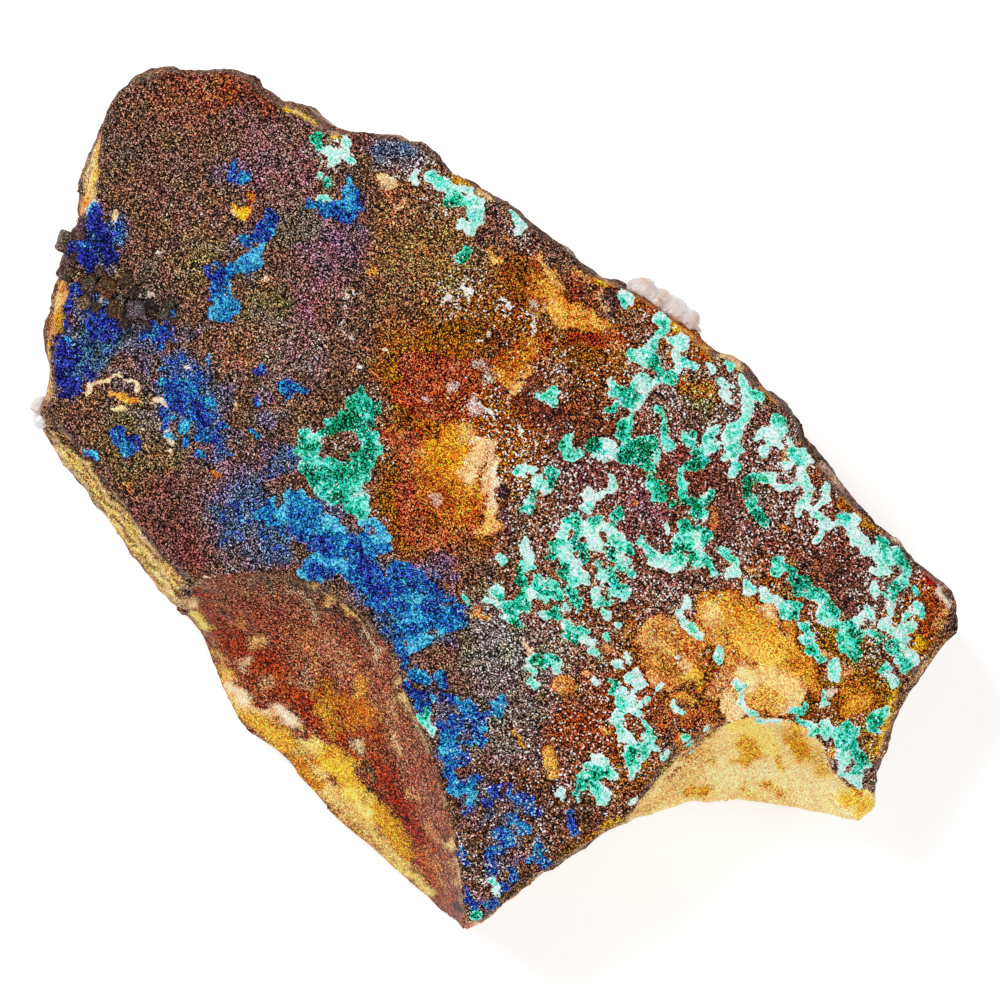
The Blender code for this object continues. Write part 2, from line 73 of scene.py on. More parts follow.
camera = {"distance": 2.0, "aimHeight": 0.016}  # metres
cameraData = bpy.data.cameras.new("camera")
cameraData.lens = cameraData.sensor_width * (camera["distance"] - camera["aimHeight"]) / (sheet["size"] * mm)
cameraData.clip_end = 20.0
cameraObject = bpy.data.objects.new("camera", cameraData)
cameraObject.location = place(*sheet["middle"]) + Vector((0, 0, camera["distance"]))
cameraObject.rotation_euler = (0, 0, sheet["turn"])
bpy.context.scene.collection.objects.link(cameraObject)
bpy.context.scene.camera = cameraObject
bpy.context.scene.view_settings.view_transform = "Standard"

lights = {  # size and strength, and where each stands on the sheet: right, up, height, in metres
    "keyLight": {"size": 0.5, "watts": 7.0, "stands": (-0.45, 0.5, 0.75)},
    "fillLight": {"size": 0.8, "watts": 3.0, "stands": (0.6, -0.2, 0.8)},
    "sideLight": {"size": 0.6, "watts": 2.6, "stands": (0.1, -0.75, 0.5)},
    "world": 0.24,
}
for name in ("keyLight", "fillLight", "sideLight"):
    data = bpy.data.lights.new(name, "AREA")
    data.size, data.energy = lights[name]["size"], lights[name]["watts"]
    right, up, high = lights[name]["stands"]
    light = bpy.data.objects.new(name, data)
    light.location = Matrix.Rotation(sheet["turn"], 4, "Z") @ Vector((right, up, high))
    light.rotation_euler = (-light.location).to_track_quat("-Z", "Y").to_euler()
    bpy.context.scene.collection.objects.link(light)
world = bpy.data.worlds.new("softRoom")
world.use_nodes = True
world.node_tree.nodes["Background"].inputs["Color"].default_value = (1, 1, 1, 1)
world.node_tree.nodes["Background"].inputs["Strength"].default_value = lights["world"]
bpy.context.scene.world = world
print("camera and lights set")


# ---- node helpers

def setStops(ramp, stops):
    while len(ramp.elements) < len(stops):
        ramp.elements.new(0.5)
    for element, (at, _) in zip(ramp.elements, stops):
        element.position = at
    for element, (_, colour) in zip(ramp.elements, stops):
        element.color = hexColour(colour)


def addNode(tree, kind, settings=None, links=None, out=None):
    # settings are the node's own, its ramp's stops or plain values of its inputs
    # links are sockets or plain values, by input or in order; out asks for one output
    node = tree.nodes.new(kind)
    for key, value in (settings or {}).items():
        if key == "stops":
            setStops(node.color_ramp, value)
        elif isinstance(key, str) and hasattr(node, key):
            setattr(node, key, value)
        else:
            node.inputs[key].default_value = value
    for key, value in (dict(enumerate(links)) if isinstance(links, list) else links or {}).items():
        if isinstance(value, bpy.types.NodeSocket):
            tree.links.new(value, node.inputs[key])
        else:
            node.inputs[key].default_value = value
    return node if out is None else node.outputs[out]


def newMaterial(name):
    made = bpy.data.materials.new(name)
    made.use_nodes = True
    return made, made.node_tree, made.node_tree.nodes["Principled BSDF"]


# ---- what grows where, as brush lines: each is a tone or colour, then x, y and half width in sheet mm
# tones run from 0, deep, to 1, pale

azurite = {
    "crescent": [
        (0.5, [(30.9, 20.2, 0.3), (31.8, 20.7, 0.4), (32.8, 21.2, 0.6), (34.2, 21.1, 0.8)]),
        (0.75, [(34.8, 18.2, 0.35), (35, 19.2, 0.7), (35, 20.2, 0.8), (34.2, 21, 0.5)]),
        (0.4, [(35.5, 19.4, 0.35), (35.9, 20.3, 0.5), (35.4, 21.2, 0.7), (34.2, 21.8, 0.5)]),
    ],
    "seam": [
        (0.35, [(26.8, 21.4, 0.3), (27.2, 22.2, 0.6), (26.4, 23.2, 0.9), (25.8, 23.8, 0.6)]),
        (0.8, [(27.1, 23.2, 0.35), (26, 24, 0.3), (26.2, 24.6, 0.3)]),
        (0.5, [(24.8, 24.2, 0.5), (25, 24, 0.4)]), (0.8, [(25.8, 25.2, 0.5), (25.4, 25.8, 0.5),
        (24.2, 26.2, 0.5)]), (0.6, [(25.8, 26.2, 0.5), (24.4, 26.6, 0.8), (23.2, 27, 0.6),
        (22.6, 27.6, 0.6)]), (0.5, [(22.4, 27.6, 0.6), (21.8, 28.6, 0.6), (21.5, 29.6, 0.65)]),
        (0.75, [(21.8, 29.6, 0.5), (22.6, 30.2, 0.8), (23.7, 30.8, 0.6)]), (0.8, [(21.4, 31.2, 0.4),
        (22.2, 31.5, 0.6), (23, 31.8, 0.4)]), (0.95, [(22.8, 28.4, 0.25), (22.9, 28.9, 0.25)]),
        (0.3, [(20.6, 27, 0.35), (20.9, 27.3, 0.35)]), (0.4, [(21.6, 26.4, 0.3), (21.9, 26.5, 0.3)]),
    ],
    "northSpot": [
        (0.45, [(23.5, 16.5, 0.25), (23.2, 17.4, 0.5), (23.7, 18.2, 0.5), (24.6, 17.9, 0.4)]),
    ],
    "bandTop": [
        (0.75, [(28.6, 49.4, 0.5), (30.2, 50.2, 0.9), (31.4, 51.2, 0.7)]), (0.45, [(29.4, 51.6, 0.9),
        (30.4, 52.6, 1.1), (30.8, 53.8, 0.5)]), (0.65, [(31.2, 51.6, 0.8), (31.8, 52.6, 0.6)]),
        (0.7, [(26, 51.6, 0.4), (27.2, 50.6, 0.6), (27.4, 51.8, 0.8), (28.6, 51.4, 0.7)]),
        (0.9, [(28.8, 51.6, 0.3), (29.3, 51.2, 0.3)]), (0.9, [(32.9, 52, 0.6), (33.6, 53, 0.6)]),
        (0.65, [(32.6, 53.2, 0.8), (34.2, 54, 0.9), (34.8, 54.2, 0.8)]),
        (0.32, [(34.8, 54.6, 0.7), (35.8, 54.8, 0.5)]), (0.4, [(32.4, 55, 0.7), (33.8, 55.4, 0.7)]),
        (0.25, [(31.2, 54.6, 0.5), (32.4, 54.2, 0.5)]),
    ],
    "bandRing": [
        (0.85, [(36.2, 52, 0.35), (37.2, 52.3, 0.5), (38.2, 53, 0.5), (38.4, 54, 0.6)]),
        (0.95, [(38.6, 53.9, 0.5), (37.9, 54.2, 0.5)]), (0.65, [(36.4, 53.4, 0.4), (37, 54.6, 0.4)]),
        (0.6, [(36.6, 55, 0.5), (38, 55, 0.5), (38.6, 54.6, 0.4)]),
        (0.5, [(35.4, 54, 0.4), (36, 55.2, 0.6)]),
    ],
    "bandLow": [
        (0.8, [(29.9, 56.9, 0.25), (30.3, 57.6, 0.3), (30.9, 57.9, 0.25)]),
        (0.4, [(30.8, 56.8, 0.7), (31.4, 57, 0.8)]), (0.7, [(31.4, 55.8, 0.5), (32.6, 56, 0.7),
        (33.8, 56.2, 0.8), (34.8, 57, 0.6)]),
        (0.5, [(32.4, 57, 0.6), (33.6, 57, 0.5), (35, 57.4, 0.4)]),
        (0.7, [(31.6, 57.4, 0.35), (32.2, 57.6, 0.3)]),
    ],
    "bandVeil": [
        (0.3, [(35.8, 56.2, 1), (37.2, 57.4, 1.1), (38.4, 58.4, 1)]),
        (0.45, [(36, 58, 0.6), (37, 59.4, 0.5), (38, 60.6, 0.5)]), (0.35, [(39.6, 56.8, 0.7),
        (41.6, 57.6, 0.8), (43.6, 59.2, 0.7)]),
    ],
    "bandKnee": [
        (0.4, [(38.8, 58.4, 0.7), (40.2, 58.8, 0.9), (41.8, 58.8, 0.7)]),
        (0.8, [(40, 59.2, 0.5), (41.2, 60, 0.7), (42.2, 59.8, 0.5)]),
        (0.25, [(42.6, 60.2, 0.6), (43.6, 60.8, 0.6)]), (0.6, [(44.6, 60, 0.4), (45.4, 59.8, 0.35)]),
        (0.4, [(39.2, 60.4, 0.7), (40.6, 61.2, 0.7)]),
    ],
    "bandTip": [
        (0.65, [(41, 61.6, 0.8), (42.8, 62.2, 0.9), (44.6, 61.8, 0.9), (46.2, 62.2, 0.55)]),
        (0.7, [(43.6, 61.2, 0.4), (44.6, 62.2, 0.8), (44, 62.8, 0.4)]),
        (0.45, [(45.8, 61, 0.35), (46.4, 62, 0.4)]), (0.5, [(40, 62.4, 0.8), (41.4, 62.8, 0.8)]),
        (0.95, [(43.8, 63.4, 0.25), (44, 63.5, 0.2)]), (0.8, [(41.4, 63.6, 0.5), (42.6, 63.8, 0.5)]),
        (0.75, [(41.4, 64.6, 0.5), (42.2, 64.4, 0.4)]), (0.5, [(39.8, 64, 0.5), (40.4, 65.2, 0.5)]),
        (0.4, [(40.2, 66, 0.4), (40.3, 66.4, 0.3)]),
    ],
    "fringeTop": [
        (0.7, [(41.4, 67.2, 0.5), (42.4, 67.8, 0.4)]), (0.5, [(41.4, 67.6, 0.4), (42.6, 68, 0.35)]),
        (0.4, [(40.6, 68.6, 0.5), (41.2, 69.4, 0.4), (42.3, 69.4, 0.4)]),
        (0.5, [(43.9, 67.5, 0.35), (44.1, 68.3, 0.5)]), (0.25, [(44.6, 68.6, 0.3), (44.4, 68, 0.3)]),
        (0.95, [(43.2, 69.8, 0.25), (43.6, 69.6, 0.25)]), (0.45, [(41.8, 70.4, 0.5), (42.6, 71, 0.5)]),
    ],
    "fringeArm": [
        (0.35, [(44.7, 69.7, 0.4), (45.2, 70.1, 0.4)]), (0.65, [(45.6, 70, 0.3), (46.3, 70.3, 0.4),
        (46, 70.8, 0.35)]), (0.7, [(46.9, 70.6, 0.35), (47.2, 71.5, 0.6), (46.6, 71.4, 0.4)]),
        (0.5, [(47.4, 71, 0.35), (48, 72.4, 0.4), (48.4, 72.6, 0.3)]),
        (0.35, [(45.6, 72, 0.5), (46.6, 71.8, 0.4)]), (0.4, [(48.4, 71.6, 0.35), (49, 71.2, 0.35)]),
        (0.6, [(49.8, 69.9, 0.5), (49.8, 70.7, 0.85)]), (0.8, [(49.2, 70.4, 0.3), (49.4, 71.2, 0.3)]),
        (0.35, [(47.6, 73.4, 0.5), (48.1, 74, 0.5)]), (0.5, [(46.6, 74.2, 0.2), (47.6, 74.2, 0.2)]),
    ],
    "column": [
        (0.4, [(43.8, 72.8, 0.3), (44.8, 73, 0.4), (45.6, 73.4, 0.4)]),
        (0.75, [(44.6, 73.8, 0.5), (44.3, 74.6, 0.5)]), (0.55, [(45.4, 74, 0.6), (45.4, 75.4, 0.5)]),
        (0.45, [(44.4, 75.4, 0.5), (45.6, 76.4, 0.4), (44.8, 76.4, 0.4)]),
        (0.3, [(46.3, 75.6, 0.4), (46.5, 76, 0.35)]), (0.6, [(44.9, 76.8, 0.4), (45.2, 77.6, 0.4),
        (45.2, 78.6, 0.5)]), (0.95, [(45.4, 78.2, 0.3), (45.4, 78.5, 0.3)]), (0.65, [(45.2, 79, 0.4),
        (46.4, 78.6, 0.45), (47.2, 78.4, 0.5), (47.2, 79.4, 0.5)]),
        (0.65, [(47, 79.6, 0.4), (46.9, 80.4, 0.25)]), (0.5, [(47.4, 77.7, 0.3), (47.7, 77.6, 0.25)]),
        (0.35, [(47, 80.8, 0.35), (46.5, 81.2, 0.3)]),
    ],
    "southSpots": [
        (0.4, [(51, 79, 0.3), (51.1, 79.2, 0.3)]), (0.45, [(51.6, 79.7, 0.4), (52.6, 79.8, 0.5),
        (53, 80.6, 0.5), (53.4, 81, 0.4)]), (0.25, [(52.6, 79.6, 0.35), (52.6, 80.4, 0.3)]),
        (0.35, [(49, 78.9, 0.3), (49.7, 79.2, 0.45)]), (0.25, [(48.6, 80, 0.4), (49, 80.5, 0.4)]),
        (0.6, [(51.2, 81.6, 0.3), (51.3, 82, 0.3)]), (0.35, [(51.8, 82, 0.35), (52.2, 82.6, 0.45)]),
        (0.5, [(52.3, 83.2, 0.3), (52.8, 83.1, 0.25)]),
        (0.6, [(49.8, 83, 0.4), (50.6, 83.5, 0.5), (51, 84.2, 0.5)]), (0.4, [(50, 84.8, 0.4),
        (49.2, 85.4, 0.5), (48.9, 85.8, 0.35)]), (0.3, [(49, 86.6, 0.45), (49.4, 87.2, 0.4)]),
        (0.65, [(53.8, 84.4, 0.4), (54, 85.4, 0.35)]), (0.45, [(53.4, 85.6, 0.25), (53, 86.2, 0.25)]),
        (0.35, [(54.2, 86, 0.35), (54.6, 86.4, 0.3)]), (0.4, [(46, 84.9, 0.25), (46.4, 85.8, 0.4),
        (46.5, 86.2, 0.35)]), (0.4, [(51.2, 87, 0.4), (51.6, 87.9, 0.4)]),
        (0.4, [(50.2, 88.3, 0.4), (50.4, 88.8, 0.35)]), (0.3, [(46.4, 88.6, 0.35), (46.8, 89.6, 0.35),
        (47.6, 90.6, 0.35)]), (0.4, [(49.3, 90, 0.35), (48.9, 90.6, 0.35)]), (0.4, [(57, 81.4, 0.45),
        (57.1, 82.4, 0.45), (57.5, 83.2, 0.2)]),
    ],
    "westNub": [
        (0.55, [(11.8, 43.2, 0.6), (12, 44.4, 0.6)]), (0.75, [(12.4, 43.9, 0.35), (13.2, 44.8, 0.4)]),
        (0.55, [(12.4, 45, 0.5), (13.6, 44.9, 0.4)]), (0.45, [(13.8, 43.8, 0.25), (13.9, 44.2, 0.25)]),
        (0.95, [(9.1, 45.4, 0.35), (9.2, 45.9, 0.25)]),
    ],
    "westField": [
        (0.55, [(16.4, 38.6, 0.5), (17.6, 38.4, 0.7), (19, 39.2, 0.9)]),
        (0.5, [(17.2, 39.6, 0.8), (18.4, 39.8, 0.8)]), (0.35, [(17.6, 40.2, 0.6), (18.2, 40.8, 0.5)]),
        (0.7, [(19.2, 41, 0.3), (19.6, 41.8, 0.35)]), (0.3, [(20, 41, 0.6), (20.6, 42.4, 0.5)]),
        (0.55, [(20.3, 42.8, 0.4), (20.2, 43.6, 0.4)]), (0.85, [(17, 41.4, 0.35), (17.1, 41.8, 0.3)]),
        (0.4, [(16.4, 41.4, 0.6), (16.4, 42.4, 0.5)]), (0.9, [(16.8, 43.4, 0.3), (17, 43.6, 0.3)]),
        (0.9, [(18.4, 43, 0.35), (18.9, 42.2, 0.35)]), (0.75, [(18.8, 43.8, 0.25), (18.6, 44.6, 0.3)]),
        (0.6, [(20, 45.4, 0.4), (20.2, 45.6, 0.3)]), (0.7, [(21.3, 40.3, 0.4), (20.4, 40.2, 0.4)]),
        (0.35, [(19.8, 38.4, 0.4), (19.7, 37.8, 0.3)]), (0.55, [(16.2, 37, 0.25), (16.4, 37.2, 0.25)]),
        (0.65, [(23, 45.4, 0.35), (23.2, 45.6, 0.3)]), (0.45, [(22.4, 42.8, 0.3), (22.2, 42.6, 0.25)]),
    ],
    "westChips": [
        (0.4, [(15.2, 33, 0.4), (16.2, 32.6, 0.6), (16.6, 33.4, 0.5), (14.6, 33.6, 0.4)]),
        (0.75, [(16.8, 31.3, 0.3), (17, 31.5, 0.3)]), (0.6, [(16.1, 34.6, 0.25), (16.1, 35, 0.25)]),
        (0.9, [(20.8, 35.6, 0.22), (20.9, 36.1, 0.22)]),
        (0.65, [(14.4, 33.8, 0.25), (14.5, 33.9, 0.2)]),
    ],
    "westFace": [
        (0.32, [(7.8, 28.6, 0.35), (7, 29.4, 0.4), (6.8, 30.6, 0.4), (6.6, 31.2, 0.3)]),
        (0.42, [(9.2, 31, 0.5), (10.2, 31.4, 0.6), (9.4, 32.4, 0.8)]),
        (0.4, [(10.4, 32.6, 0.5), (10.6, 33, 0.4)]), (0.3, [(11.2, 32.2, 0.5), (11.8, 33, 0.5)]),
        (0.28, [(6.2, 34.2, 0.5), (5.9, 35.2, 0.7), (6.8, 35.6, 0.8), (6.8, 36.4, 0.7)]),
        (0.6, [(5.6, 35.2, 0.25), (5.5, 36.2, 0.3)]), (0.28, [(5.9, 36.8, 0.4), (5.7, 38.2, 0.35)]),
        (0.3, [(8.4, 37, 0.4), (9.4, 37.8, 0.3)]), (0.55, [(9.1, 35.2, 0.3), (9.2, 35.8, 0.25)]),
        (0.2, [(6.4, 38.2, 0.7), (7.6, 38.8, 0.6), (6.2, 39.4, 0.5)]),
        (0.4, [(6.4, 32.6, 0.3), (6.8, 32.4, 0.3)]), (0.85, [(7, 33.8, 0.25), (6.9, 34, 0.25)]),
        (0.3, [(9.8, 33.6, 0.5), (11, 34, 0.4)]),
    ],
    "shoulder": [
        (0.75, [(9.2, 20.9, 0.25), (8.9, 21.4, 0.25)]), (0.3, [(9.4, 21.4, 0.6), (9.3, 22.6, 0.6)]),
        (0.35, [(9.2, 22.6, 0.45), (9.5, 23.2, 0.4)]), (0.2, [(10, 22, 0.6), (10.6, 23.4, 0.7)]),
        (0.35, [(8.8, 24.2, 0.4), (8.6, 25, 0.5), (9.2, 25.6, 0.5)]),
        (0.2, [(7.4, 24.6, 0.4), (8, 25.6, 0.5), (9.2, 26.6, 0.5)]),
        (0.15, [(10.4, 24.6, 0.7), (11, 25.6, 0.7)]), (0.4, [(6.2, 28.2, 0.25), (6.2, 28.5, 0.2)]),
    ],
    "ridgeBits": [
        (0.65, [(28.6, 38.8, 0.5), (29.4, 38.6, 0.6), (30.2, 39.2, 0.5)]),
        (0.45, [(28.8, 39.4, 0.4), (29.6, 39.2, 0.4)]), (0.3, [(26, 37, 0.3), (26.4, 37.2, 0.3)]),
        (0.3, [(25.8, 40, 0.4), (26.2, 40.2, 0.35)]), (0.6, [(25.5, 43.4, 0.25), (25.6, 43.7, 0.25)]),
    ],
}
azuriteDust = [  # x, y, radius, share, where the druse only has a veil of it
    (19.6, 38.6, 2.6, 0.5), (21.6, 40.6, 2, 0.46), (21.4, 43.4, 2, 0.5), (21.6, 45.4, 1.6, 0.5),
    (15, 38.6, 1.6, 0.36), (16.6, 36.6, 1.4, 0.3), (24.4, 51, 3, 0.42), (22.6, 50.6, 1.4, 0.5),
    (26.4, 48.6, 1.6, 0.4), (28, 46.4, 1.4, 0.44), (29.4, 46, 1, 0.5), (27.6, 53.6, 2.6, 0.44),
    (23, 53.6, 1.6, 0.4), (29, 55, 1.6, 0.44), (24.6, 56.4, 1.6, 0.3), (33.6, 50.8, 1, 0.3),
    (37, 58, 2.6, 0.5), (36, 60, 1.6, 0.34), (38.6, 62, 1.6, 0.5), (43, 57.6, 2, 0.4),
    (44.6, 59.4, 1.4, 0.4), (43.4, 63.8, 1.2, 0.3), (42, 69.4, 1.6, 0.34), (46.4, 72.6, 1.8, 0.36),
    (45, 71.4, 1.2, 0.3), (46.4, 75, 1, 0.3), (48.8, 79.8, 1.2, 0.34), (46, 79.8, 1, 0.3),
    (48, 81.8, 1, 0.28), (50.4, 83, 1.4, 0.3), (49.2, 86.2, 1.2, 0.34), (47, 90, 1.2, 0.34),
    (10, 31.4, 2.2, 0.5), (8.8, 33.4, 2.6, 0.5), (7.6, 30.4, 1.4, 0.5), (11.8, 34.6, 1.6, 0.45),
    (15.2, 33.4, 1.4, 0.36), (17.8, 37.4, 2.4, 0.5), (19.8, 40.4, 2.2, 0.45), (7.6, 36.2, 1.8, 0.55),
    (24.6, 49.6, 3, 0.4), (27, 55, 2, 0.4), (8.6, 34.6, 2.4, 0.42), (11.4, 33.4, 1.4, 0.5),
    (9.6, 36.2, 1.8, 0.4), (7, 38, 1.6, 0.6), (10.4, 24, 1.8, 0.55), (8.4, 25.6, 1.4, 0.5),
    (10.6, 26, 1.2, 0.4), (7.6, 25, 0.9, 0.4), (14.6, 34.4, 1.2, 0.3), (17.4, 33.4, 1, 0.4),
    (19.6, 33, 1.2, 0.22), (24.4, 28.2, 1.2, 0.24), (26.4, 39.6, 1.2, 0.24), (27.4, 42.6, 1.4, 0.26),
    (25.6, 45, 1.4, 0.3), (39.8, 14.4, 1.2, 0.36), (38.4, 15.6, 0.9, 0.3), (24, 24.4, 1, 0.2),
    (23, 17.6, 1.4, 0.2), (51.6, 86, 1, 0.2), (52.8, 81.4, 1.2, 0.3), (13.6, 35.6, 0.8, 0.2),
    (36.2, 22.6, 0.8, 0.2), (31.6, 42.6, 0.8, 0.3),
]
